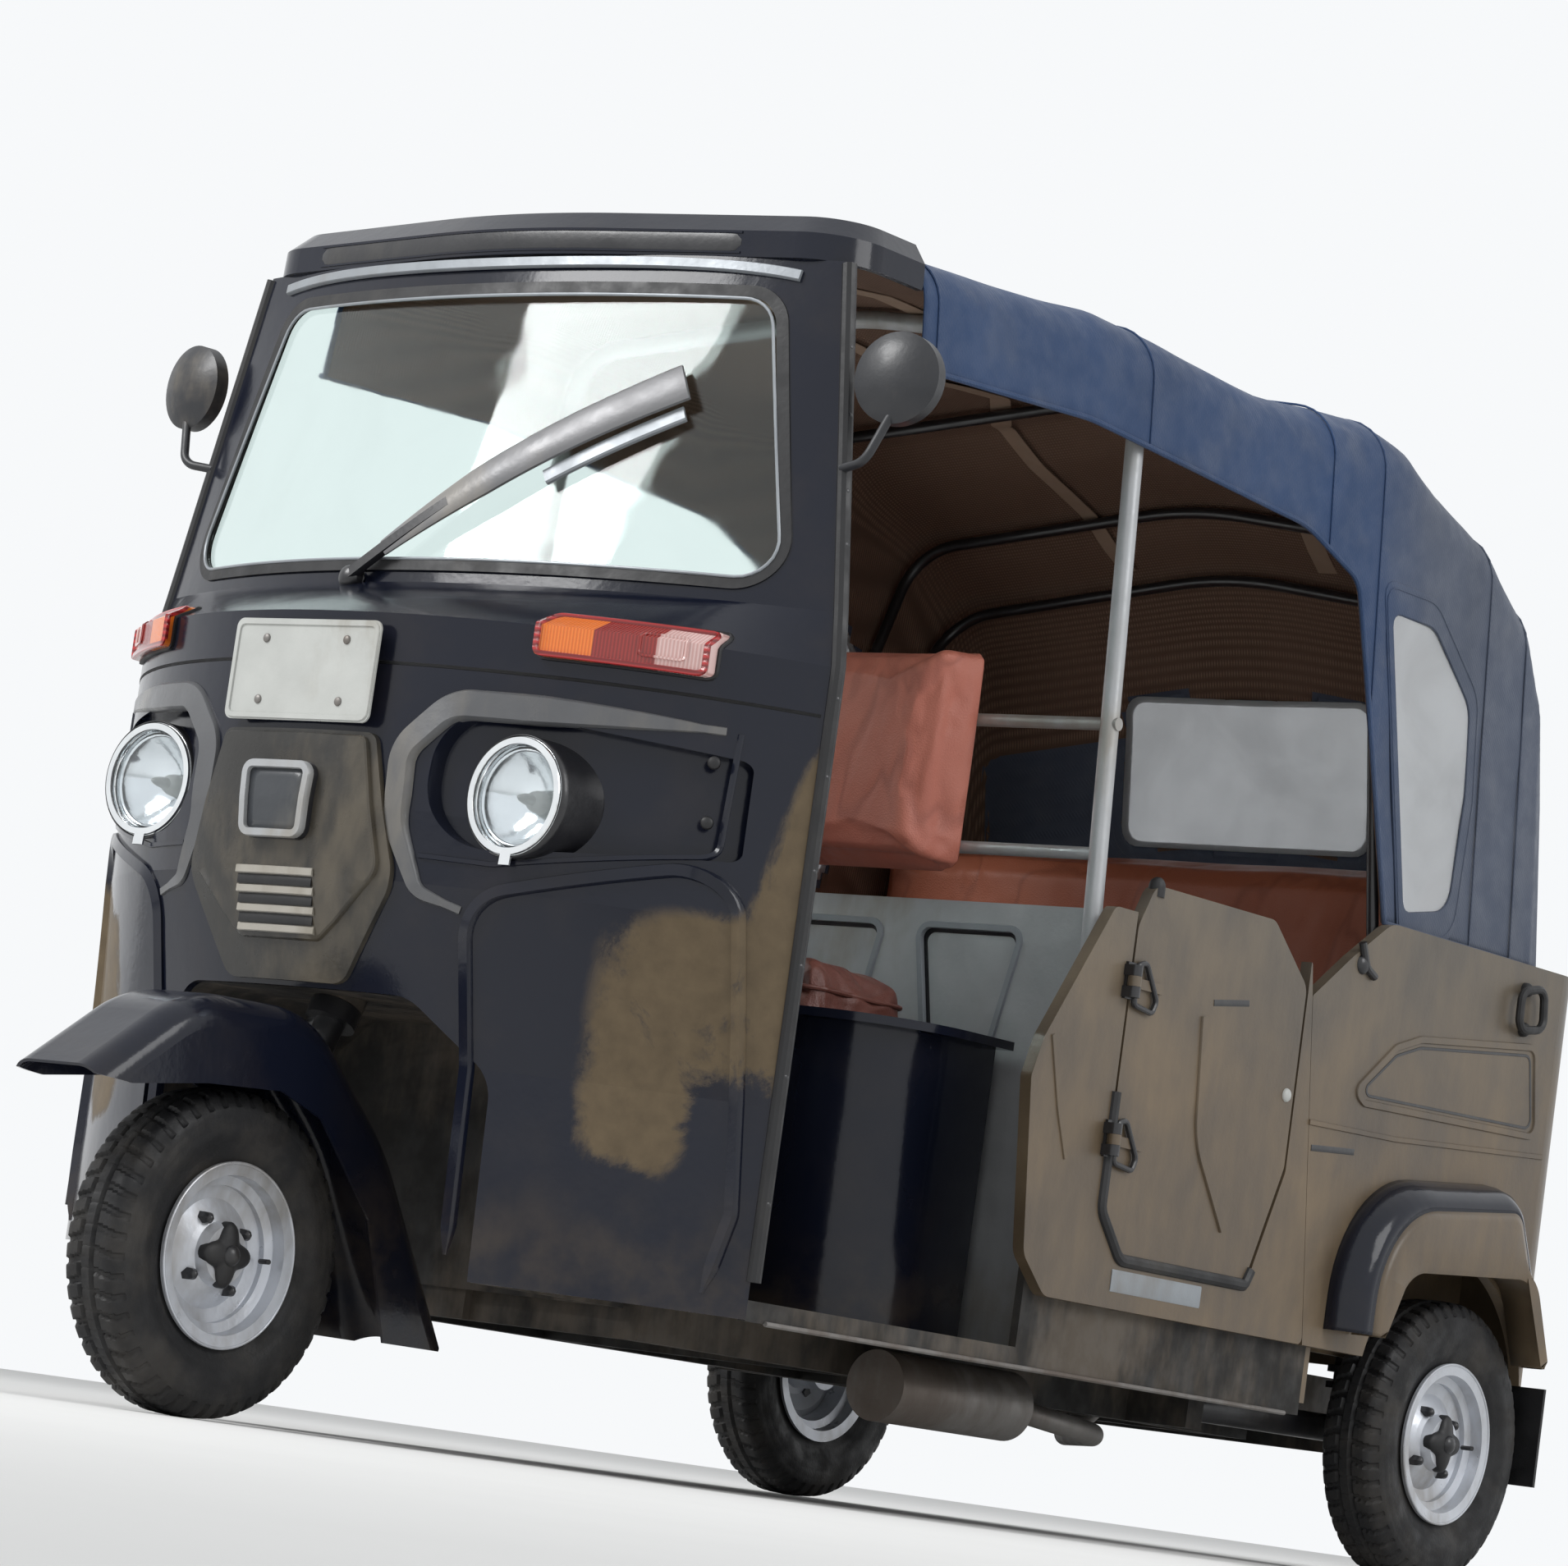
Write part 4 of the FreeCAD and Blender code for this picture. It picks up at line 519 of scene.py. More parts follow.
# how far each ring of a sewn border lies inside the cover's face
BORDER_INSET = np.array([0.0020, -0.0004, -0.0008, -0.0004, 0.0016])[:, None]
REAR_LIGHT = rounded([(-0.230, 1.100), (0.230, 1.100), (0.230, 1.330), (-0.230, 1.330)], 0.030, 120,
                     closed=True)


def skirt(y):
    """Height of the hood's lower edge: the doorway's outline ahead of the tub, then the foot."""
    return np.interp(y, DOORWAY[:, 0], DOORWAY[:, 1])


def arch_at(y):
    """The arch's five sizes at y, straight between the table's rows."""
    return [np.interp(y, ARCHES[:, 0], ARCHES[:, k]) for k in range(1, 6)]


def side_at(y, z, inset=0.0):
    """x of the hood's flank: a straight line from the foot up to the shoulder."""
    shoulder, _, top_half, base_half, _ = arch_at(y)
    share = (z - HOOD_FOOT) / (shoulder - HOOD_FOOT)
    return base_half + (top_half - base_half) * share - inset


def back_at(x, z, inset=0.0):
    """y of the hood's rear wall, halved towards where the roof line at x has fallen to z."""
    near = np.full(np.broadcast(x, z).shape, 1.0)
    far = np.full(near.shape, 1.212)
    for _ in range(26):
        middle = (near + far) / 2
        shoulder, crown, top_half = arch_at(middle)[:3]
        above = crown - (crown - shoulder) * np.abs(x) / top_half > z
        near, far = np.where(above, middle, near), np.where(above, far, middle)
    return near - inset


def hood_grid(inset, first, last, rows, columns, sag=0.0):
    """Rows run along the vehicle and columns over it from skirt to skirt. A row is the arch of the
    table's sizes at its y, cut at the skirt's height; sag lowers the roof between bows by sag * sin^2."""
    run = np.concatenate([[0], np.cumsum(np.hypot(np.diff(ARCHES[:, 0]), np.diff(ARCHES[:, 2])))])
    start, stop = np.interp([first, last], ARCHES[:, 0], run)
    along = np.interp(np.linspace(start, stop, rows), run, ARCHES[:, 0])
    along = np.unique(np.concatenate([along, np.linspace(0.56, 0.706, 36), np.linspace(0.655, 0.925, 46)]))
    along = along[(along >= first - 1e-6) & (along <= last + 1e-6)]
    grid = []
    for y in along:
        shoulder, crown, top_half, _, corner = arch_at(y)
        foot = float(skirt(y))
        outline = [(float(side_at(y, foot, inset)), foot), (top_half - inset, shoulder - inset),
                   (0, crown - inset), (inset - top_half, shoulder - inset),
                   (-float(side_at(y, foot, inset)), foot)]
        round_ = max(0.004, min(corner - inset, (shoulder - foot) * 0.7))
        flat = rounded(outline, [0, round_, 0.9, round_, 0], columns)
        grid.append(np.stack([flat[:, 0], np.full(columns, y), flat[:, 1]], axis=1))
    grid = np.array(grid)
    if last > 1.2:
        # the rear wall's foot: the last arch drawn down to the hem
        foot = grid[-1:].copy()
        foot[:, :, 2] = HOOD_FOOT
        grid = np.concatenate([grid, foot])
    if sag:
        bows = np.array([-0.47, 0.04, 0.632, 0.940, 1.060, 1.212])
        place = np.interp(grid[:, :, 1], bows, np.arange(6.0))
        roof = np.clip((grid[:, :, 2] - 1.40) / 0.15, 0, 1) * (grid[:, :, 1] < 1.05)
        crease = np.sin(38 * grid[:, :, 1] + 9 * grid[:, :, 0]) * np.sin(23 * grid[:, :, 0]
                                                                         - 6 * grid[:, :, 1])
        grid[:, :, 2] -= sag * roof * (np.sin(math.pi * place) ** 2 + 0.12 * crease)
        flank = np.clip((1.42 - grid[:, :, 2]) / 0.2, 0, 1) * (grid[:, :, 1] > 0.66) * (grid[:, :, 1] < 1.12)
        fold = np.sin(52 * grid[:, :, 1] + 20 * grid[:, :, 2]) * 0.5 + np.sin(31 * grid[:, :, 2]
                                                                              + 15 * grid[:, :, 1]) * 0.5
        grid[:, :, 0] -= np.sign(grid[:, :, 0]) * 0.0016 * flank * (1 + fold)
    return grid


def window_gap(grow):
    """Test for faces inside the outline of a side light or the rear light, grown outward."""
    def inside(outline, u, v):
        middle = outline.mean(0)
        turn = np.arctan2(outline[:, 1] - middle[1], outline[:, 0] - middle[0])
        reach = np.hypot(outline[:, 0] - middle[0], outline[:, 1] - middle[1])
        order = np.argsort(turn)
        at = np.arctan2(v - middle[1], u - middle[0])
        return np.hypot(u - middle[0], v - middle[1]) < np.interp(at, turn[order], reach[order],
                                                                  period=2 * math.pi) + grow

    def gap(points):
        x, y, z = points[:, 0], points[:, 1], points[:, 2]
        flank = (np.abs(x) > 0.5) & (y > 0.64) & (y < 0.95) & (z < 1.45) & inside(SIDE_LIGHT, y, z)
        back = (y > 1.1) & (np.abs(x) < 0.3) & inside(REAR_LIGHT, x, z)
        return flank | back
    return gap


def fan(outline, rings):
    """Rings from the outline's middle out to it: middle + share * (outline - middle)."""
    middle = outline.mean(0)
    share = np.linspace(0, 1, rings)[:, None, None]
    return middle + share * (outline - middle)[None]


def film_side(side, inset):
    """Rings of the side light laid on the hood's flank, with slow waves."""
    flat = fan(SIDE_LIGHT + (SIDE_LIGHT - SIDE_LIGHT.mean(0)) * 0.03, 16)
    y, z = flat[..., 0], flat[..., 1]
    wave = 0.0012 * np.sin(26 * y + 11 * z) * np.sin(19 * z)
    grid = np.stack([side * (side_at(y, z, inset) + wave), y, z], axis=-1)
    return grid if side > 0 else grid[::-1]


def film_back(inset):
    """Rings of the rear light laid on the hood's rear wall."""
    flat = fan(REAR_LIGHT + (REAR_LIGHT - REAR_LIGHT.mean(0)) * 0.03, 16)
    x, z = flat[..., 0], flat[..., 1]
    return np.stack([x, back_at(x, z, inset), z], axis=-1)


def make_hood():
    """Cover, lining, clear lights with sewn borders, hems, seams and roof straps."""
    cover = surface("hood_cover", hood_grid(0.0015, -0.4695, 1.2105, 150, 181, 0.005), "hood_cloth",
                    thick=0.0022, holes=window_gap(0.006), sharp=60)
    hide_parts("hood_canopy")
    lining = surface("hood_lining", hood_grid(0.0042, -0.462, 1.2060, 90, 91, 0.005), "hood_cloth",
                     finish=LINING, thick=0.0010, holes=window_gap(0.010), sharp=60)
    for side, name in SIDES:
        film = surface("side_light_" + name, film_side(side, 0.0028), "clear_film", loop_columns=True,
                       thick=0.0008)
        # sewn border round the light, and its line of stitches
        middle = SIDE_LIGHT.mean(0)
        grow = np.array([0.955, 0.965, 1.06, 1.17, 1.18])[:, None, None]
        edge = middle + (SIDE_LIGHT - middle)[None] * grow
        border = np.stack([side * side_at(edge[..., 0], edge[..., 1], BORDER_INSET), edge[..., 0],
                           edge[..., 1]], axis=-1)
        surface("side_border_" + name, border if side > 0 else border[::-1], "hood_cloth",
                             loop_columns=True, thick=0.0008)
        edge = middle + (SIDE_LIGHT - middle) * 1.13
        path = np.stack([side * side_at(edge[:, 0], edge[:, 1], -0.0012), edge[:, 0], edge[:, 1]], axis=1)
        strip("side_stitch_" + name, path, disc(0.0012, 6), "hood_cloth", (1, 0, 0),
                           closed=True)
    rear = surface("rear_light", film_back(0.0028), "clear_film", loop_columns=True, thick=0.0008)
    # the rear light's sewn border
    rings = np.stack([rounded([(-0.230 - g, 1.100 - g), (0.230 + g, 1.100 - g), (0.230 + g, 1.330 + g),
                               (-0.230 - g, 1.330 + g)], 0.030 + g, 120, closed=True)
                      for g in (-0.005, -0.004, 0.008, 0.024, 0.025)])
    border = np.stack([rings[..., 0], back_at(rings[..., 0], rings[..., 1], BORDER_INSET), rings[..., 1]],
                      axis=-1)
    surface("rear_border", border, "hood_cloth", loop_columns=True, thick=0.0008)
    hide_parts("hood_windows")
    # a rolled hem follows the doorway, then the foot round the tub
    for side, name in SIDES:
        y = np.concatenate([DOORWAY[:, 0], np.linspace(0.708, 1.165, 60)])
        z = skirt(y)
        x = side_at(y, z, -0.0008)
        bar("hood_hem_" + name, np.stack([side * x, y, z], axis=1), 0.0042, "body",
                         "hood_cloth", 8)
    # stitched seams cross the roof over each bow
    for i, y in enumerate((-0.44, 0.04, 0.50, 0.632, 0.940, 1.060)):
        row = hood_grid(-0.0006, y, y + 0.001, 2, 91)[0]
        bar("hood_seam_%d" % i, row, 0.0018, "body", "hood_cloth", 6)
    # straps run under the roof from the header to the rear bow
    for i, x in enumerate((-0.16, 0.16)):
        rows = hood_grid(0.0080, -0.44, 1.05, 60, 91, 0.005)
        column = rows[:, 45 - (8 if x < 0 else -8)]
        strip("roof_strap_%d" % i, column,
              [(-0.016, -0.0006), (0.016, -0.0006), (0.016, 0.0006), (-0.016, 0.0006)], "hood_cloth",
              (0, 0, 1), finish=STRAP)


# Cushions: the node's solid is remeshed, swollen as cloth under pressure, then capped

def swollen(node, name, slot, voxel, cap, rest, folds=None):
    """rest is the axis and side on which the pad lies flat; folds moves points as a function of place."""
    mesh = nodes[node].data.copy()
    work = bmesh.new()
    work.from_mesh(mesh)
    bmesh.ops.remove_doubles(work, verts=work.verts, dist=1e-5)
    work.to_mesh(mesh)
    work.free()
    shape = bpy.data.objects.new(name + "_shape", mesh)
    bpy.context.scene.collection.objects.link(shape)
    net = shape.modifiers.new("net", "REMESH")
    net.mode = "VOXEL"
    net.voxel_size = voxel
    bpy.context.view_layer.update()
    fine = bpy.data.meshes.new_from_object(shape.evaluated_get(bpy.context.evaluated_depsgraph_get()))
    bpy.data.objects.remove(shape)
    piece = bpy.data.objects.new(name, fine)
    bpy.context.scene.collection.objects.link(piece)
    count = len(fine.vertices)
    start = np.empty(count * 3)
    normal = np.empty(count * 3)
    fine.vertices.foreach_get("co", start)
    fine.vertices.foreach_get("normal", normal)
    start, normal = start.reshape(-1, 3), normal.reshape(-1, 3)
    axis, side = rest
    reach = start[:, axis].min() if side < 0 else start[:, axis].max()
    held = np.abs(start[:, axis] - reach) < 0.008
    inner = start - normal * np.where(held, 0.0, 0.005)[:, None]
    inner[held, axis] = reach
    fine.vertices.foreach_set("co", inner.ravel())
    fine.update()
    pins = piece.vertex_groups.new(name="rest")
    pins.add([int(i) for i in np.flatnonzero(held)], 1.0, "REPLACE")
    cloth_ = piece.modifiers.new("swell", "CLOTH")
    cloth_.settings.use_pressure = True
    cloth_.settings.uniform_pressure_force = 4.0
    cloth_.settings.effector_weights.gravity = 0.0
    cloth_.settings.quality = 4
    cloth_.settings.vertex_group_mass = "rest"
    cloth_.point_cache.frame_start = 1
    cloth_.point_cache.frame_end = 20
    for step in range(1, 21):
        bpy.context.scene.frame_set(step)
    grown = bpy.data.meshes.new_from_object(piece.evaluated_get(bpy.context.evaluated_depsgraph_get()))
    after = np.empty(count * 3)
    grown.vertices.foreach_get("co", after)
    after = after.reshape(-1, 3)
    bpy.data.meshes.remove(grown)
    piece.modifiers.remove(cloth_)
    piece.vertex_groups.clear()
    bpy.context.scene.frame_set(1)
    moved = after - inner
    length = np.linalg.norm(moved, axis=1)
    moved *= np.minimum(1.0, cap / np.maximum(length, 1e-9))[:, None]
    inner = inner + moved
    box = np.array(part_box(node))
    inner = np.clip(inner, box[0] - 0.004, box[1] + 0.004)
    inner[:, axis] = np.maximum(inner[:, axis], reach) if side < 0 else np.minimum(inner[:, axis], reach)
    if folds is not None:
        inner = folds(inner, held)
    fine.vertices.foreach_set("co", inner.ravel())
    fine.update()
    fine.materials.clear()
    fine.materials.append(FINISHES[slot])
    fine.shade_smooth()
    soft = piece.modifiers.new("soft", "SUBSURF")
    soft.levels = soft.render_levels = 1
    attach(piece, "body")
    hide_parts(node)
    return piece


def squab_folds(points, held):
    """Upright folds: y moves by waves across, deeper towards the foot; the upper corners rise."""
    x, z = points[:, 0], points[:, 2]
    low = np.clip((1.19 - z) / 0.31, 0, 1)
    wave = np.sin(61 * x + 8 * z) * 0.5 + np.sin(97 * x - 11 * z + 1.3) * 0.3 + np.sin(31 * z + 17 * x) * 0.35
    moved = points.copy()
    moved[:, 1] += np.where(held, 0, 0.0042 * wave * (0.35 + 0.65 * low))
    moved[:, 2] += 0.006 * np.clip((np.abs(x) - 0.24) / 0.085, 0, 1) * np.clip((z - 1.13) / 0.06, 0, 1)
    return moved


def seat_folds(points, held):
    """Loose cover of the driver's cushion: ridges run across it and sag at its edges."""
    x, y = points[:, 0], points[:, 1]
    wave = np.sin(44 * x + 19 * y) * 0.5 + np.sin(83 * x - 27 * y) * 0.3 + np.sin(71 * y + 13 * x) * 0.4
    moved = points.copy()
    moved[:, 2] += np.where(held, 0, 0.0050 * wave)
    moved[:, 0] += np.where(held, 0, 0.0020 * np.sin(90 * y) * np.sign(x) * (np.abs(x) > 0.25))
    return moved


def bench_folds(points, held):
    """Long soft waves of a stretched cover."""
    moved = points.copy()
    wave = np.sin(11 * points[:, 0] + 1.1) * 0.5 + np.sin(29 * points[:, 0] + 15 * points[:, 2]) * 0.3
    moved[:, 1] += np.where(held, 0, 0.0015 * wave)
    moved[:, 2] += np.where(held, 0, 0.0012 * np.sin(23 * points[:, 0] + 9 * points[:, 1]))
    return moved


def piping(name, corners, radius, slot, plane):
    """Welt cord along a rounded rectangle in the plane's two axes, at one level across them."""
    axes, level = plane
    ring = rounded(corners, 0.022, 160, closed=True)
    path = np.empty((160, 3))
    path[:, axes[0]], path[:, axes[1]] = ring[:, 0], ring[:, 1]
    path[:, 3 - axes[0] - axes[1]] = level
    up = [0.0, 0.0, 0.0]
    up[3 - axes[0] - axes[1]] = 1.0
    return strip(name, path, disc(radius, 8), slot, up, closed=True)


def make_seats():
    """The driver's and the passengers' cushions, and the welts of the driver's."""
    swollen("driver_cushion", "driver_pad", "dark_red_vinyl", 0.008, 0.012, (2, -1), seat_folds)
    swollen("driver_backrest", "driver_squab", "salmon_vinyl", 0.008, 0.014, (1, 1), squab_folds)
    swollen("bench_cushion", "bench_pad", "bench_vinyl", 0.012, 0.014, (2, -1), bench_folds)
    swollen("bench_backrest", "bench_squab", "bench_vinyl", 0.012, 0.014, (1, 1), bench_folds)
    low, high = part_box("driver_backrest")
    piping("squab_welt",
           [(low[0] + 0.012, low[2] + 0.012), (high[0] - 0.012, low[2] + 0.012),
            (high[0] - 0.012, high[2] - 0.012), (low[0] + 0.012, high[2] - 0.012)], 0.0035, "salmon_vinyl",
           ((0, 2), high[1] - 0.016))
    low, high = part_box("driver_cushion")
    piping("cushion_welt",
           [(low[0] + 0.004, low[1] + 0.004), (high[0] - 0.004, low[1] + 0.004),
            (high[0] - 0.004, high[1] - 0.004), (low[0] + 0.004, high[1] - 0.004)], 0.0035,
           "dark_red_vinyl", ((0, 1), low[2] + 0.030))


# Nose: one arc across the vehicle at each height

# columns: height, front, doorway edge, half width
NOSE = np.array([
    (0.215, 0.890, 0.650, 0.600),
    (0.480, 0.903, 0.650, 0.600),
    (0.700, 0.961, 0.650, 0.600),
    (0.791, 0.969, 0.650, 0.600),
    (1.040, 0.970, 0.650, 0.600),
    (1.112, 0.800, 0.645, 0.588),
    (1.575, 0.700, 0.624, 0.507),
])


def nose_at(x, z, proud=0.0):
    """y of the nose: the arc through both doorway edges and the front, its sizes read from the table at z."""
    front, edge, half = (np.interp(z, NOSE[:, 0], NOSE[:, k]) for k in (1, 2, 3))
    front, half = front + proud, half + proud
    bow = front - edge
    radius = (half * half + bow * bow) / (2 * bow)
    return radius - front - np.sqrt(np.maximum(radius * radius - np.asarray(x) ** 2, 1e-9))


def on_nose(flat, proud):
    """Points (x, z) laid on the nose, standing proud of it."""
    return np.stack([flat[:, 0], nose_at(flat[:, 0], flat[:, 1], proud), flat[:, 1]], axis=1)


def both(name, grid, *rest, **more):
    """The piece on the left and its mirror image on the right."""
    surface(name + "_left", grid, *rest, **more)
    surface(name + "_right", mirrored(grid), *rest, **more)


def ridge(wide, high, edge=0.35):
    """Section of a flat strip with rounded shoulders, closed underneath."""
    return [(-wide, -high), (-wide, high * edge), (-wide * 0.8, high), (wide * 0.8, high),
            (wide, high * edge), (wide, -high)]


def nose_frame(name, corners, radius, proud, profile, slot, count=120, pair=True, finish=None):
    """A closed strip along a rounded outline (x, z) on the nose."""
    ring = rounded(corners, radius, count, closed=True)
    grid = carried(on_nose(ring, proud), profile, (0, -1, 0), loop=True)
    make = both if pair else surface
    make(name, grid, slot, finish=finish, loop_rows=True, loop_columns=True)


def dome(place, facing, radius, high, rings=6, count=16, lobes=0, depth=0.0):
    """Low round head: radius * cos(s) across and high * sin(s) along its axis; lobes wave the rim."""
    facing = np.array(facing, float) / np.linalg.norm(facing)
    side = np.cross(facing, (0, 0, 1) if abs(facing[2]) < 0.9 else (1, 0, 0))
    side /= np.linalg.norm(side)
    rise = np.cross(facing, side)
    s = np.concatenate([[-0.35], np.linspace(0, math.pi / 2, rings)])[:, None, None]
    turn = np.linspace(0, 2 * math.pi, count, endpoint=False)[None, :, None]
    reach = radius * np.cos(np.maximum(s, 0)) * (1 + depth * np.cos(lobes * turn))
    return (np.array(place, float) + facing * high * np.where(s < 0, -1.0, np.sin(s))
            + side * reach * np.cos(turn) + rise * reach * np.sin(turn))


def heads(name, places, facing, radius, high, body, slot, finish=None, **more):
    """Several heads in one piece."""
    surface(name, [dome(place, facing, radius, high, **more) for place in places], slot, body, finish,
            loop_columns=True, ends=True)


def make_nose_trim():
    """Lip, bead, plate rim, indicator frames, badge, mask, bolts and the doorway's beading."""
    # light lip under the header, and the bright bead inside the windscreen's rubber
    x = np.linspace(-0.452, 0.452, 90)
    z = 1.564 - 0.012 * (np.abs(x) / 0.452) ** 6
    lip = on_nose(np.stack([x, z], axis=1), 0.006)
    strip("header_lip", lip, ridge(0.0075, 0.0035), "silver_paint", (0, -1, 0.2), finish=LIP)
    nose_frame("glass_bead", [(-0.517, 1.144), (0.517, 1.144), (0.421, 1.518), (-0.421, 1.518)], 0.046,
               0.0035, disc(0.0022, 8), "silver_paint", 240, pair=False, finish=LIP)
    # raised rim and bolts of the number plate
    half, low, high = 0.121, PLATE_MIDDLE - 0.061, PLATE_MIDDLE + 0.061
    ring = rounded([(-half, low), (half, low), (half, high), (-half, high)], 0.010, 120, closed=True)
    path = np.stack([ring[:, 0], np.full(120, PLATE_FACE), ring[:, 1]], axis=1)
    strip("plate_rim", path, ridge(0.0035, 0.0018), "plate", closed=True)
    heads("plate_bolts",
          [(sx * 0.070, PLATE_FACE, PLATE_MIDDLE + sz * 0.040) for sx in (-1, 1) for sz in (-1, 1)],
          (0, -1, 0), 0.006, 0.003, "body", "grey_steel")
    # indicator: red surround, and the clear end's inner frame
    low, high = INDICATOR
    nose_frame("indicator_frame",
               [(0.325, low + 0.003), (0.501, low + 0.003), (0.501, high - 0.003), (0.325, high - 0.003)],
               0.007, 0.0150, ridge(0.0035, 0.0025), "tail_red")
    nose_frame("indicator_window",
               [(0.436, low + 0.016), (0.482, low + 0.016), (0.482, high - 0.016), (0.436, high - 0.016)],
               0.006, 0.0150, ridge(0.0018, 0.0014), "lamp_plastic", 80)
    nose_frame("indicator_edge",
               [(0.3205, low - 0.0015), (0.5055, low - 0.0015), (0.5055, high + 0.0015),
                (0.3205, high + 0.0015)], 0.009, 0.0025, ridge(0.002, 0.0022), "rubber", 90)
    # badge: silver frame with a dark face, left bare
    level = BADGE_MIDDLE
    corners = [(-0.052, level - 0.048), (0.052, level - 0.048), (0.058, level + 0.048),
               (-0.058, level + 0.048)]
    nose_frame("badge_frame", [(x * 0.93, level + (z - level) * 0.92) for x, z in corners], 0.012, 0.0290,
               ridge(0.0055, 0.0050), "silver_paint", 100, pair=False)
    nose_frame("badge_wall", [(x * 0.92, level + (z - level) * 0.92) for x, z in corners], 0.012, 0.0200,
               ridge(0.0062, 0.0085), "black_metal", 100, pair=False)
    ring = fan(rounded([(x * 0.88, level + (z - level) * 0.86) for x, z in corners], 0.010, 64,
                       closed=True), 4)
    face = np.stack([ring[..., 0], nose_at(ring[..., 0], ring[..., 1], 0.0275), ring[..., 1]], axis=-1)
    surface("badge_face", face, "black_metal", finish=BADGE, loop_columns=True, thick=0.0012)
    # raised beak on the mask, its dark slots and the bright ribs between them
    beak = rounded([(-0.066, 0.616), (0.066, 0.616), (0.096, 0.642), (0.160, 0.709), (0.121, 0.879),
                    (-0.121, 0.879), (-0.160, 0.709), (-0.096, 0.642)],
                   [0.012, 0.012, 0.02, 0.03, 0.01, 0.01, 0.03, 0.02], 160, closed=True)
    proud = np.concatenate([np.full(11, 0.0165), [0.0160, 0.0140, 0.0060]])[:, None]
    shrink = np.concatenate([np.linspace(0, 0.985, 12), [0.998, 1.0]])[:, None, None]
    flat = beak.mean(0) + (beak - beak.mean(0))[None] * shrink
    surface("mask_beak",
            np.stack([flat[..., 0], nose_at(flat[..., 0], flat[..., 1], proud), flat[..., 1]], axis=-1),
            "mask_plastic", loop_columns=True)
    for i in range(3):
        x = np.linspace(-0.064, 0.064, 24)
        slot = on_nose(np.stack([x, np.full(24, 0.6405 + 0.024 * i)], axis=1), 0.0172)
        strip("mask_slot_%d" % i, slot, ridge(0.0062, 0.0012), "black_metal", finish=FINISHES["rubber"])
    for i in range(4):
        x = np.linspace(-0.066, 0.066, 24)
        rib = on_nose(np.stack([x, np.full(24, 0.6285 + 0.024 * i)], axis=1), 0.0172)
        strip("mask_rib_%d" % i, rib, ridge(0.0052, 0.0022), "mask_plastic", finish=RIB)
    # screws at the outer end of the lamp recess, and the doorway beading with its clips
    for side, label in SIDES:
        spots = [(side * x, nose_at(x, z) - 0.0005, z) for x, z in ((0.513, 0.896), (0.514, 0.820))]
        heads("recess_bolts_" + label, spots, (side * 0.55, -0.83, 0), 0.0085, 0.0045, "body", "rubber")
    z = np.linspace(0.262, 1.572, 90)
    half, edge = np.interp(z, NOSE[:, 0], NOSE[:, 3]), np.interp(z, NOSE[:, 0], NOSE[:, 2])
    bead = np.stack([half + 0.001, -edge + 0.004, z], axis=1)
    both("doorway_bead", carried(bead, disc(0.0100, 10), (0, 1, 0)), "rubber", loop_columns=True, ends=True)
    for side, label in SIDES:
        spots = [(side * (np.interp(v, NOSE[:, 0], NOSE[:, 3]) + 0.006),
                  -np.interp(v, NOSE[:, 0], NOSE[:, 2]) + 0.003, v)
                 for v in (0.36, 0.52, 0.66, 0.78, 0.90, 1.00, 1.20, 1.27, 1.37, 1.46)]
        heads("bead_clips_" + label, spots, (side, -0.2, 0), 0.0065, 0.0050, "body", "black_metal")


def make_lamp_detail():
    """Reflector: a bowl with radius growing as the root of its depth; a shielded bulb stands in it."""
    turn = np.linspace(0, 2 * math.pi, 64, endpoint=False)
    for side, label in SIDES:
        s = np.linspace(0.12, 1, 16)[:, None]
        reach, deep = 0.0605 * s, LAMP_FACE + 0.011 + 0.034 * (1 - s ** 2)
        grid = np.stack([side * LAMP_SIDE + reach * np.cos(turn), np.broadcast_to(deep, (16, 64)),
                         LAMP_HEIGHT + reach * np.sin(turn)], axis=-1)
        surface("reflector_" + label, grid, "chrome", loop_columns=True, thick=0.0008)
        surface("bulb_" + label,
                [dome((side * LAMP_SIDE, LAMP_FACE + 0.036, LAMP_HEIGHT), (0, -1, 0), 0.0075, 0.026),
                 dome((side * LAMP_SIDE, LAMP_FACE + 0.040, LAMP_HEIGHT), (0, -1, 0), 0.013, 0.012)],
                "plate", loop_columns=True, ends=True)
        ring = np.stack([side * LAMP_SIDE + 0.0705 * np.cos(turn), np.full(64, LAMP_FACE - 0.001),
                         LAMP_HEIGHT + 0.0705 * np.sin(turn)], axis=1)
        strip("lamp_rim_" + label, ring, ridge(0.0050, 0.0030), "chrome", closed=True)
        wall = np.linspace(LAMP_FACE - 0.0015, -0.810, 8)[:, None]
        collar = np.stack([side * LAMP_SIDE + 0.0778 * np.cos(turn) + 0 * wall, wall + 0 * turn,
                           LAMP_HEIGHT + 0.0778 * np.sin(turn) + 0 * wall], axis=-1)
        surface("lamp_collar_" + label, collar, "black_metal", loop_columns=True, thick=0.0010)
        tab = np.array([(side * LAMP_SIDE, LAMP_FACE - 0.002, LAMP_HEIGHT - 0.073),
                        (side * LAMP_SIDE, LAMP_FACE - 0.003, LAMP_HEIGHT - 0.088)])
        strip("lamp_tab_" + label, tab, ridge(0.009, 0.0020), "chrome")


# Doors and tub

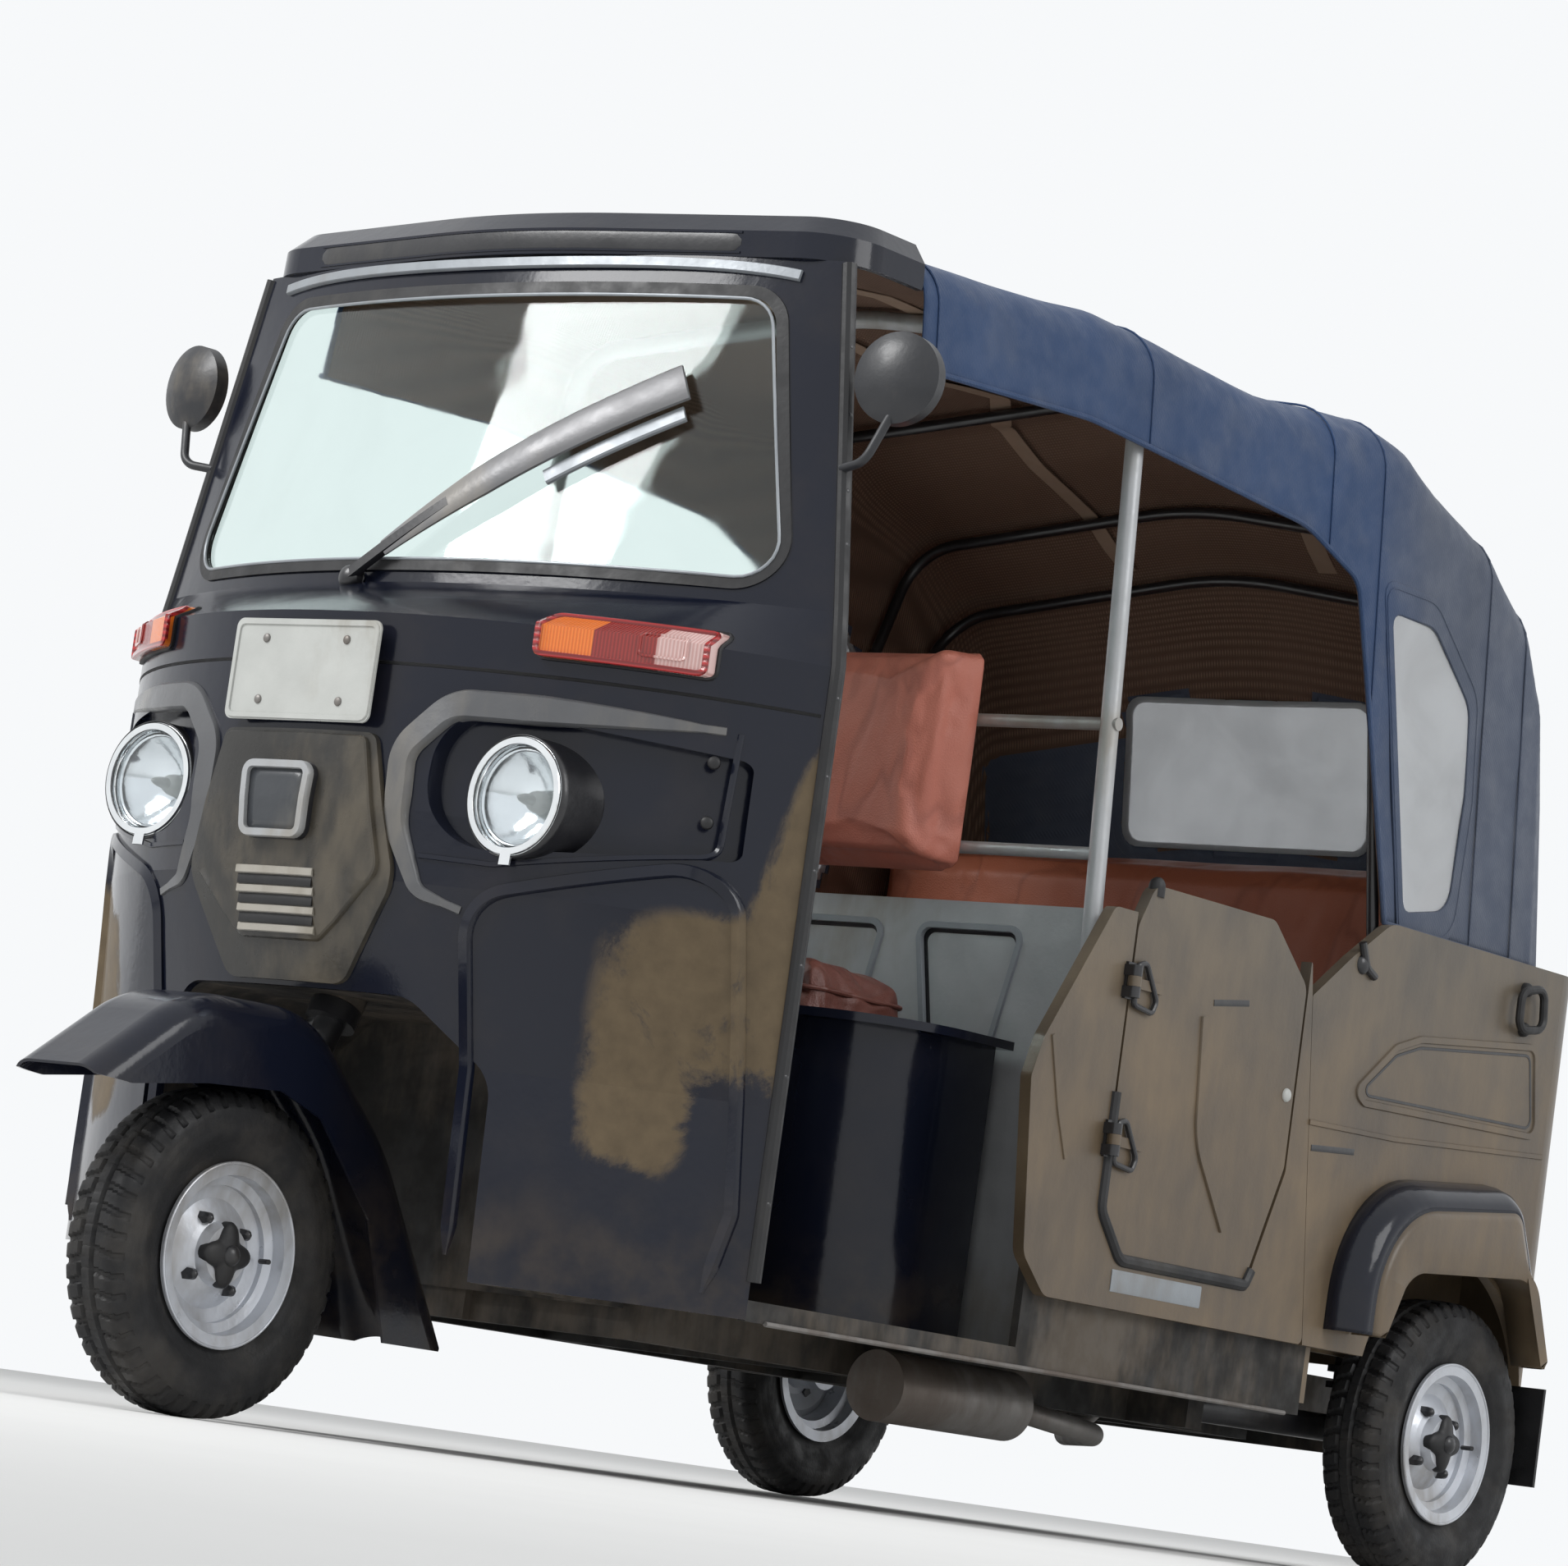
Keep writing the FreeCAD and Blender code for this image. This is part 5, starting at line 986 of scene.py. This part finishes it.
def side_strip(name, points, radii, profile, slot, x=TUB_SIDE, count=120, body="body", closed=False,
               finish=None):
    """A profile carried along an outline of the left side, given in y and height, and its mirror image."""
    flat = rounded(points, radii, count, closed=closed)
    path = np.stack([np.full(count, x), flat[:, 0], flat[:, 1]], axis=1)
    grid = carried(path, profile, (1, 0, 0), loop=closed)
    for label, one, rider in (("left", grid, body), ("right", mirrored(grid), body.replace("left", "right"))):
        surface(name + "_" + label, one, slot, rider, finish, loop_rows=closed, loop_columns=True,
                ends=not closed)


def make_door_trim():
    """Rubbers, hinge rods, catches and knobs of the doors; handles and pivots of the tub."""
    # rubber round the lower half of each door, hanging over the gap
    side_strip("door_rubber",
               [(0.0675, 0.60), (0.0675, 0.440), (0.124, 0.3785), (0.434, 0.3785), (0.446, 0.400)],
               [0, 0.027, 0.027, 0.006, 0], disc(0.0095), "rubber", 0.6060, 90, "left_door")
    # bent rods from the hinges over the door's face
    for z, label in HINGES:
        side_strip("hinge_rod_" + label,
                   [(0.074, z + 0.024), (0.092, z + 0.030), (0.126, z - 0.018), (0.118, z - 0.036),
                    (0.074, z - 0.030)], [0.006, 0.010, 0.010, 0.008, 0.006], disc(0.0042), "black_metal",
                   0.6135, 70, "left_door", closed=True)
        block = np.array([(0.6095, 0.061, z - 0.024), (0.6095, 0.061, z + 0.026)])
        for side, body, side_name in DOORS:
            grid = carried(block, [(-0.009, -0.0035), (0.013, -0.0035), (0.013, 0.0030), (-0.009, 0.0030)],
                           (1, 0, 0))
            surface("hinge_plate_%s_%s" % (label, side_name), grid if side > 0 else mirrored(grid),
                    "black_metal", body, loop_columns=True, ends=True)
    for side, body, label in DOORS:
        heads("door_catch_" + label, [(side * TUB_SIDE, 0.480, 0.652)], (side, 0, 0), 0.010, 0.006, body,
              "plate")
        heads("door_knob_" + label, [(side * 0.600, 0.112, 0.887)], (0, 0, 1), 0.012, 0.014, body, "rubber")
    # loop handle, hood pivot and its catch on the tub
    side_strip("loop_handle", [(1.052, 0.887), (1.114, 0.900), (1.123, 0.839), (1.053, 0.829)], 0.018,
               disc(0.0065), "rubber", 0.6235, 80, closed=True)
    for side, label in SIDES:
        heads("handle_foot_" + label, [(side * 0.612, 1.083, 0.893), (side * 0.612, 1.088, 0.834)],
              (side, 0, 0), 0.011, 0.010, "body", "rubber")
        heads("hood_pivot_" + label, [(side * 0.607, 0.634, 0.862)], (side, 0, 0), 0.015, 0.010, "body",
              "black_metal")
    side_strip("pivot_strap", [(0.622, 0.892), (0.640, 0.858), (0.664, 0.848)], [0, 0.02, 0], disc(0.006),
               "black_metal", 0.6115, 24)
    # pale strip along the sill
    side_strip("sill_strip", [(-0.600, 0.214), (0.600, 0.214)], 0, disc(0.0035), "silver_paint", 0.5925, 40,
               finish=FINISHES["grey_steel"])


def make_mirror_trim():
    """Rim and glass of each mirror: a ring and a disc square to its facing."""
    for side, label in SIDES:
        centre = np.array(MIRROR) * (side, 1, 1)
        facing = np.array([-0.18 * side, 1.0, 0.0])
        facing /= np.linalg.norm(facing)
        across = np.cross(facing, (0, 0, 1))
        turn = np.linspace(0, 2 * math.pi, 72, endpoint=False)[:, None]
        ring = centre + facing * 0.018 + 0.0555 * (np.cos(turn) * across
                                                   + np.sin(turn) * np.array([0, 0, 1.0]))
        strip("mirror_rim_" + label, ring, disc(0.0030, 8), "rubber", facing, closed=True)
        share = np.linspace(0, 1, 8)[:, None, None]
        flat = centre + facing * 0.0188 + share * 0.0535 * (np.cos(turn) * across
                                                            + np.sin(turn) * np.array([0, 0, 1.0]))[None]
        surface("mirror_glass_" + label, flat, "chrome", loop_columns=True, thick=0.0008)


# Wheels

# columns: name, wheel centre along X, axle along Y, side that faces out, body
WHEELS = [("front", 0.0, -1.0, 1, "front_wheel"),
          ("rear_left", 0.575, 1.0, 1, "rear_left_wheel"),
          ("rear_right", -0.575, 1.0, -1, "rear_right_wheel")]
AXLE_Z = 0.2075


def tyre_grid(count=528, across=34):
    """Section turned about the axle; the tread is cut 4.5 mm deep times the smooth steps of its grooves."""
    section = rounded([(-0.038, 0.1055), (-0.038, 0.119), (-0.0525, 0.154), (-0.0494, 0.1855),
                       (-0.036, 0.2060), (0, 0.2080), (0.036, 0.2060), (0.0494, 0.1855), (0.0525, 0.154),
                       (0.038, 0.119), (0.038, 0.1055)],
                      [0, 0.008, 0.03, 0.02, 0.014, 0.2, 0.014, 0.02, 0.03, 0.008, 0], across * 2)
    x, radius = section[:, 0][None, :], section[:, 1][None, :]
    turn = np.linspace(0, 2 * math.pi, count, endpoint=False)[:, None]
    tread = np.clip((radius - 0.186) / 0.006, 0, 1)
    pitch = 48
    ribs = np.clip((0.0028 - np.abs(np.abs(x) - 0.0115)) / 0.0012, 0, 1)
    middle = np.clip((0.0022 - np.abs(x)) / 0.001, 0, 1) * 0.6
    lean = turn * pitch / (2 * math.pi) + 10 * np.abs(x) + np.where(x > 0, 0.5, 0.0)
    share = np.abs(lean - np.round(lean))
    slots = np.clip((0.17 - share) / 0.03, 0, 1) * (np.abs(x) > 0.0125)
    sipes = np.clip((0.06 - np.abs(lean * 2 - np.round(lean * 2))) / 0.03, 0, 1) * (np.abs(x) < 0.0095) * 0.5
    deep = 0.0045 * tread * np.maximum.reduce([ribs + 0 * turn, middle + 0 * turn, slots, sipes])
    rings = 0.0007 * (np.exp(-((radius - 0.134) / 0.0020) ** 2) + np.exp(-((radius - 0.171) / 0.0016) ** 2)
                      + 0.8 * np.exp(-((radius - 0.147) / 0.0012) ** 2))
    reach = radius - deep
    wide = x + np.sign(x) * rings * (1 - tread)
    return np.stack([wide + 0 * turn, reach * np.cos(turn), reach * np.sin(turn)], axis=-1)


def make_wheels():
    """Tread, nuts, hub cap and boss, bright rim edge and valve of each wheel."""
    grid = tyre_grid()
    for name, x, y, facing, body in WHEELS:
        centre = np.array([x, y, AXLE_Z])
        tyre = surface(name + "_tread", grid * np.array([1, -1, 1]) + centre, "tyre", body, loop_rows=True,
                       loop_columns=True, sharp=28)
        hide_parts(name + "_tyre")
        out = np.array([facing, 0, 0])
        face = centre + out * 0.040
        nuts = [face + np.array([facing * -0.016, 0.052 * math.cos(a), 0.052 * math.sin(a)])
                for a in np.arange(4) * math.pi / 2 + 0.6]
        heads(name + "_nuts", nuts, out, 0.0085, 0.012, body, "black_metal", count=6)
        heads(name + "_hub_cap", [face + out * 0.001], out, 0.034, 0.010, body, "rubber", count=64, lobes=4,
              depth=0.24)
        heads(name + "_hub_boss", [face + out * 0.008], out, 0.014, 0.010, body, "black_metal", count=24)
        # bright ring on the rim's shoulder, and the valve
        turn = np.linspace(0, 2 * math.pi, 96, endpoint=False)
        ring = np.stack([np.full(96, centre[0] + facing * 0.0455), y + 0.1165 * np.cos(turn),
                         AXLE_Z + 0.1165 * np.sin(turn)], axis=1)
        strip(name + "_rim_edge", ring, disc(0.0020, 8), "rim_paint", (1, 0, 0), body, closed=True)
        valve = np.array([[facing * 0.024, 0.080, 0.0], [facing * 0.046, 0.072, 0.0]]) + centre
        bar(name + "_valve", valve, 0.0035, body, "rubber", 8)


# Raised forms that stand on the panels

def nose_ridge(name, points, radii, wide, high, slot, proud=0.0, count=110, taper=0.0, finish=None):
    """A crowned strip laid along a line on the nose; taper narrows it over that share of each end."""
    flat = rounded(points, radii, count)
    share = np.linspace(0, 1, count)
    grow = np.ones(count) if not taper else np.clip(np.minimum(share, 1 - share) / taper, 0.12, 1) ** 0.6
    both(name, carried(on_nose(flat, proud), ridge(wide, high), (0, -1, 0), scale=grow), slot,
         finish=finish, loop_columns=True, ends=True)


def make_forms():
    """Pressings and raised panels as crowned strips, then the fenders, wiper, band and frames."""
    # brow over each lamp, the lid under it, and the bulged panel beside the wheel opening
    nose_ridge("brow",
               [(0.262, 0.672), (0.205, 0.690), (0.170, 0.770), (0.166, 0.868), (0.226, 0.930),
                (0.520, 0.937)], [0, 0.03, 0.08, 0.05, 0.06, 0], 0.0190, 0.0085, "silver_paint", 0.0, 160,
               0.30, BROW)
    nose_ridge("eye_lid", [(0.205, 0.735), (0.300, 0.733), (0.528, 0.779), (0.533, 0.936)],
               [0, 0.05, 0.018, 0], 0.0035, 0.0030, "body_paint")
    nose_ridge("leg_panel",
               [(0.268, 0.245), (0.268, 0.688), (0.546, 0.772), (0.574, 0.340), (0.556, 0.240)],
               [0, 0.07, 0.05, 0.04, 0], 0.0090, 0.0060, "body_paint", 0.0, 180, 0.03)
    nose_ridge("nose_seam", [(-0.594, 0.976), (0.594, 0.976)], 0, 0.0022, 0.0006, "rubber", 0.0, 90)
    # pressings of the quarter panel and the door
    side_strip("quarter_recess",
               [(0.655, 0.682), (0.749, 0.758), (0.813, 0.779), (1.134, 0.813), (1.164, 0.681),
                (0.681, 0.668)], [0.010, 0.030, 0.040, 0.020, 0.020, 0.010], ridge(0.0055, 0.0030),
               "dusty_paint", closed=True, count=200)
    side_strip("quarter_inner",
               [(0.676, 0.686), (0.754, 0.747), (0.816, 0.767), (1.121, 0.799), (1.148, 0.692),
                (0.693, 0.680)], [0.008, 0.030, 0.040, 0.014, 0.014, 0.008], ridge(0.0022, 0.0008),
               "black_metal", closed=True, count=200)
    side_strip("quarter_line", [(0.546, 0.623), (0.776, 0.628), (1.190, 0.655)], [0, 0.1, 0],
               ridge(0.0040, 0.0025), "dusty_paint")
    side_strip("quarter_slot", [(0.560, 0.588), (0.672, 0.596)], 0, ridge(0.0045, 0.0008), "black_metal",
               count=20)
    side_strip("door_crease", [(0.252, 0.730), (0.272, 0.560), (0.362, 0.447)], [0, 0.12, 0],
               ridge(0.0065, 0.0035), "dusty_paint", body="left_door")
    side_strip("door_slot", [(0.272, 0.752), (0.358, 0.764)], 0, ridge(0.0045, 0.0008), "black_metal",
               count=20, body="left_door")
    side_strip("panel_step", [(-0.094, 0.655), (-0.060, 0.560), (-0.030, 0.497)], [0, 0.2, 0],
               ridge(0.0035, 0.0022), "dusty_paint")
    side_strip("door_patch", [(0.112, 0.350), (0.330, 0.350)], 0, ridge(0.0150, 0.0012), "silver_paint",
               count=20, finish=LIP)
    make_fenders()
    make_wiper()
    make_header_band()
    make_inside()


def fender_line(out, count=140):
    """Rear fender's outline in y and height, moved out by out."""
    return rounded([(0.650 - out, 0.340), (0.652 - out, 0.560 + out), (1.076 + out / 2, 0.598 + out),
                    (1.212 + out, 0.340)], [0, 0.190 + out, 0.070 + out, 0], count)


def fender_mouth(count=140):
    """Wheel opening of the rear fender's outer face."""
    return rounded([(0.722, 0.340), (0.770, 0.440), (1.110, 0.466), (1.172, 0.340)], [0, 0.070, 0.060, 0],
                   count)


def make_fenders():
    """Rows go from the tub's side out over the drafted shoulder and back in round the wheel opening."""
    band = [(0.604, fender_line(0.0)), (0.626, fender_line(-0.003)), (0.646, fender_line(-0.011)),
            (0.658, fender_line(-0.024)), (0.665, fender_line(-0.040))]
    face = [band[-1], (0.670, fender_line(-0.054)), (0.671, fender_mouth() + np.array([0, 0.010])),
            (0.667, fender_mouth()), (0.610, fender_mouth())]
    # the band keeps the navy paint; the face takes the dusty_paint slot, whose brown is a painted reflection
    # of the ground on the side-facing part
    for name, rows, slot in (("fender_band", band, "body_paint"), ("fender_face", face, "dusty_paint")):
        grid = np.stack([np.concatenate([np.full((len(line), 1), x), line], axis=1) for x, line in rows])
        left = surface(name + "_left", grid, slot, thick=0.0016, sharp=40)
        surface(name + "_right", mirrored(grid), slot, thick=0.0016, sharp=40)
        if name == "fender_face":
            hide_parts("rear_fenders")


def on_screen(x, z, off):
    """A place in front of the windscreen's arc."""
    front = 0.800 - 0.100 * (z - 1.112) / 0.463
    return np.stack([x, x * x / 2.450 - front - off, z], axis=-1)


def make_wiper():
    """The arm, the covered blade on it and the blade's lower strip; each is a flat bar along one arc."""
    share = np.linspace(0, 1, 60)
    x = -0.105 + 0.445 * share
    z = 1.116 + 0.282 * share + 0.016 * np.sin(math.pi * share)
    path = on_screen(x, z, 0.018)
    blade = path[7:]
    grow = np.interp(np.linspace(0, 1, len(blade)), [0, 0.35, 1], [0.45, 0.85, 1.0])
    section = [(-0.027, -0.003), (-0.027, 0.002), (-0.020, 0.006), (0.020, 0.006), (0.027, 0.002),
               (0.027, -0.003)]
    lean = (0, -1, 0.2)
    piece = strip("wiper_blade", blade, section, "black_metal", lean, finish=WIPER, scale=grow)
    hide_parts("wiper_arm")
    strip("wiper_link", path[:20], ridge(0.0085, 0.0045), "black_metal", lean)
    low = path[34:58] + np.array([0.020, 0.006, -0.034])
    strip("wiper_strip", low, ridge(0.011, 0.0035), "black_metal", lean, finish=LIP)
    heads("wiper_boss", [path[0] + np.array([0, 0.020, 0]), path[0] + np.array([0, 0.004, 0])],
          (0, -1, 0.1), 0.0165, 0.010, "body", "black_metal")


def make_header_band():
    """Dark band pressed into the header's front, which is an arc in the middle and straight beyond."""
    x = np.linspace(-0.385, 0.360, 100)
    y = np.where(np.abs(x) < 0.15, x * x / 1.8 - 0.7112, 0.169 * np.abs(x) - 0.724)
    end = np.minimum(1, np.sqrt(np.clip(1 - (np.abs(np.linspace(-1, 1, 100)) ** 60), 0.08, 1)))
    path = np.stack([x, y, 1.594 + 0 * x], axis=1)
    strip("header_band", path, ridge(0.0125, 0.0010), "body_paint", finish=FINISHES["black_metal"], scale=end)
    for label, z in (("low", 1.5805), ("high", 1.6075)):
        path = np.stack([x, y, z + 0 * x], axis=1)
        strip("header_line_" + label, path, ridge(0.0016, 0.0016), "body_paint")


def make_inside():
    """Pressed frames round the partition's recesses, each with a dark line inside."""
    for i, (x0, x1) in enumerate(((-0.430, -0.250), (-0.190, -0.030), (0.030, 0.190), (0.250, 0.430))):
        flat = rounded([(x0 + 0.035, 0.640), (x1 - 0.035, 0.640), (x1, 0.810), (x0, 0.810)], 0.018, 120,
                       closed=True)
        for label, y, wide, high, finish in (("rim", 0.0538, 0.0050, 0.0035, LIP),
                                             ("gap", 0.0596, 0.0045, 0.0006, FINISHES["black_metal"])):
            middle = flat.mean(0)
            ring = middle + (flat - middle) * (1.0 if label == "rim" else 0.93)
            path = np.stack([ring[:, 0], np.full(120, y), ring[:, 1]], axis=1)
            strip("recess_%s_%d" % (label, i), path, ridge(wide, high), "silver_paint", finish=finish,
                  closed=True)


# Stage

def make_stage():
    """Pale floor, a world that is white to the camera and dimmer as light, and two soft lamps."""
    floor = bpy.data.meshes.new("floor")
    floor.from_pydata([(-14, -14, 0), (14, -14, 0), (14, 14, 0), (-14, 14, 0)], [], [(0, 1, 2, 3)])
    floor = bpy.data.objects.new("floor", floor)
    bpy.context.scene.collection.objects.link(floor)
    f = Finish("floor_paint", rough=0.7, specular=0.2)
    f.colour(f.mix(f.noise(2, 3), (0.80, 0.80, 0.79), (0.84, 0.84, 0.83)))
    floor.data.materials.append(f.material)

    world = bpy.data.worlds.new("studio")
    bpy.context.scene.world = world
    world.use_nodes = True
    tree = world.node_tree
    sky = tree.nodes["Background"]
    seen = tree.nodes.new("ShaderNodeLightPath")
    shown = tree.nodes.new("ShaderNodeMath")
    shown.operation = "MAXIMUM"
    tree.links.new(seen.outputs["Is Camera Ray"], shown.inputs[0])
    clear = tree.nodes.new("ShaderNodeMath")
    clear.operation = "MAXIMUM"
    tree.links.new(seen.outputs["Is Glossy Ray"], clear.inputs[0])
    tree.links.new(seen.outputs["Is Transmission Ray"], clear.inputs[1])
    tree.links.new(clear.outputs[0], shown.inputs[1])
    level = tree.nodes.new("ShaderNodeMapRange")
    level.inputs["To Min"].default_value = 0.55
    level.inputs["To Max"].default_value = 0.96
    tree.links.new(shown.outputs[0], level.inputs["Value"])
    sky.inputs["Color"].default_value = (0.97, 0.985, 1.0, 1.0)
    tree.links.new(level.outputs[0], sky.inputs["Strength"])

    # columns: name, place, target, size, power
    for name, place, aim, extent, power in (
            ("key_light", (-2.6, -5.2, 5.4), (0, 0, 0.8), 3.0, 330),
            ("side_light", (6.5, 0.5, 4.6), (0, 0.3, 0.8), 3.5, 150)):
        lamp = bpy.data.lights.new(name, "AREA")
        lamp.size = extent
        lamp.energy = power
        holder = bpy.data.objects.new(name, lamp)
        bpy.context.scene.collection.objects.link(holder)
        back = np.array(place, float) - np.array(aim, float)
        back /= np.linalg.norm(back)
        side = np.cross((0, 0, 1), back)
        side /= np.linalg.norm(side)
        turn = np.stack([side, np.cross(back, side), back], axis=1)
        holder.matrix_world = Matrix.Translation(place) @ Matrix(turn.tolist()).to_4x4()


def make_camera():
    """Stands at floor level ahead and to the left, turned by its heading, pitch and roll."""
    heading, pitch, roll = (math.radians(v) for v in (38.80, 6.84, 7.92))
    ahead = np.array([-math.sin(heading) * math.cos(pitch), math.cos(heading) * math.cos(pitch),
                      math.sin(pitch)])
    level = np.array([math.cos(heading), math.sin(heading), 0.0])
    above = np.cross(level, ahead)
    right = math.cos(roll) * level + math.sin(roll) * above
    up = math.cos(roll) * above - math.sin(roll) * level
    view = bpy.data.cameras.new("camera")
    view.sensor_fit = "HORIZONTAL"
    view.sensor_width = 36.0
    view.lens = 130.0
    view.clip_end = 100.0
    camera = bpy.data.objects.new("camera", view)
    bpy.context.scene.collection.objects.link(camera)
    turn = Matrix(np.stack([right, up, -ahead], axis=1).tolist()).to_4x4()
    camera.matrix_world = Matrix.Translation((4.98693, -6.17692, 0.040)) @ turn
    bpy.context.scene.camera = camera


make_hood()
make_seats()
make_nose_trim()
make_lamp_detail()
make_door_trim()
make_mirror_trim()
make_wheels()
make_forms()
make_stage()
make_camera()

bpy.context.scene.view_settings.view_transform = "Standard"
bpy.context.view_layer.update()
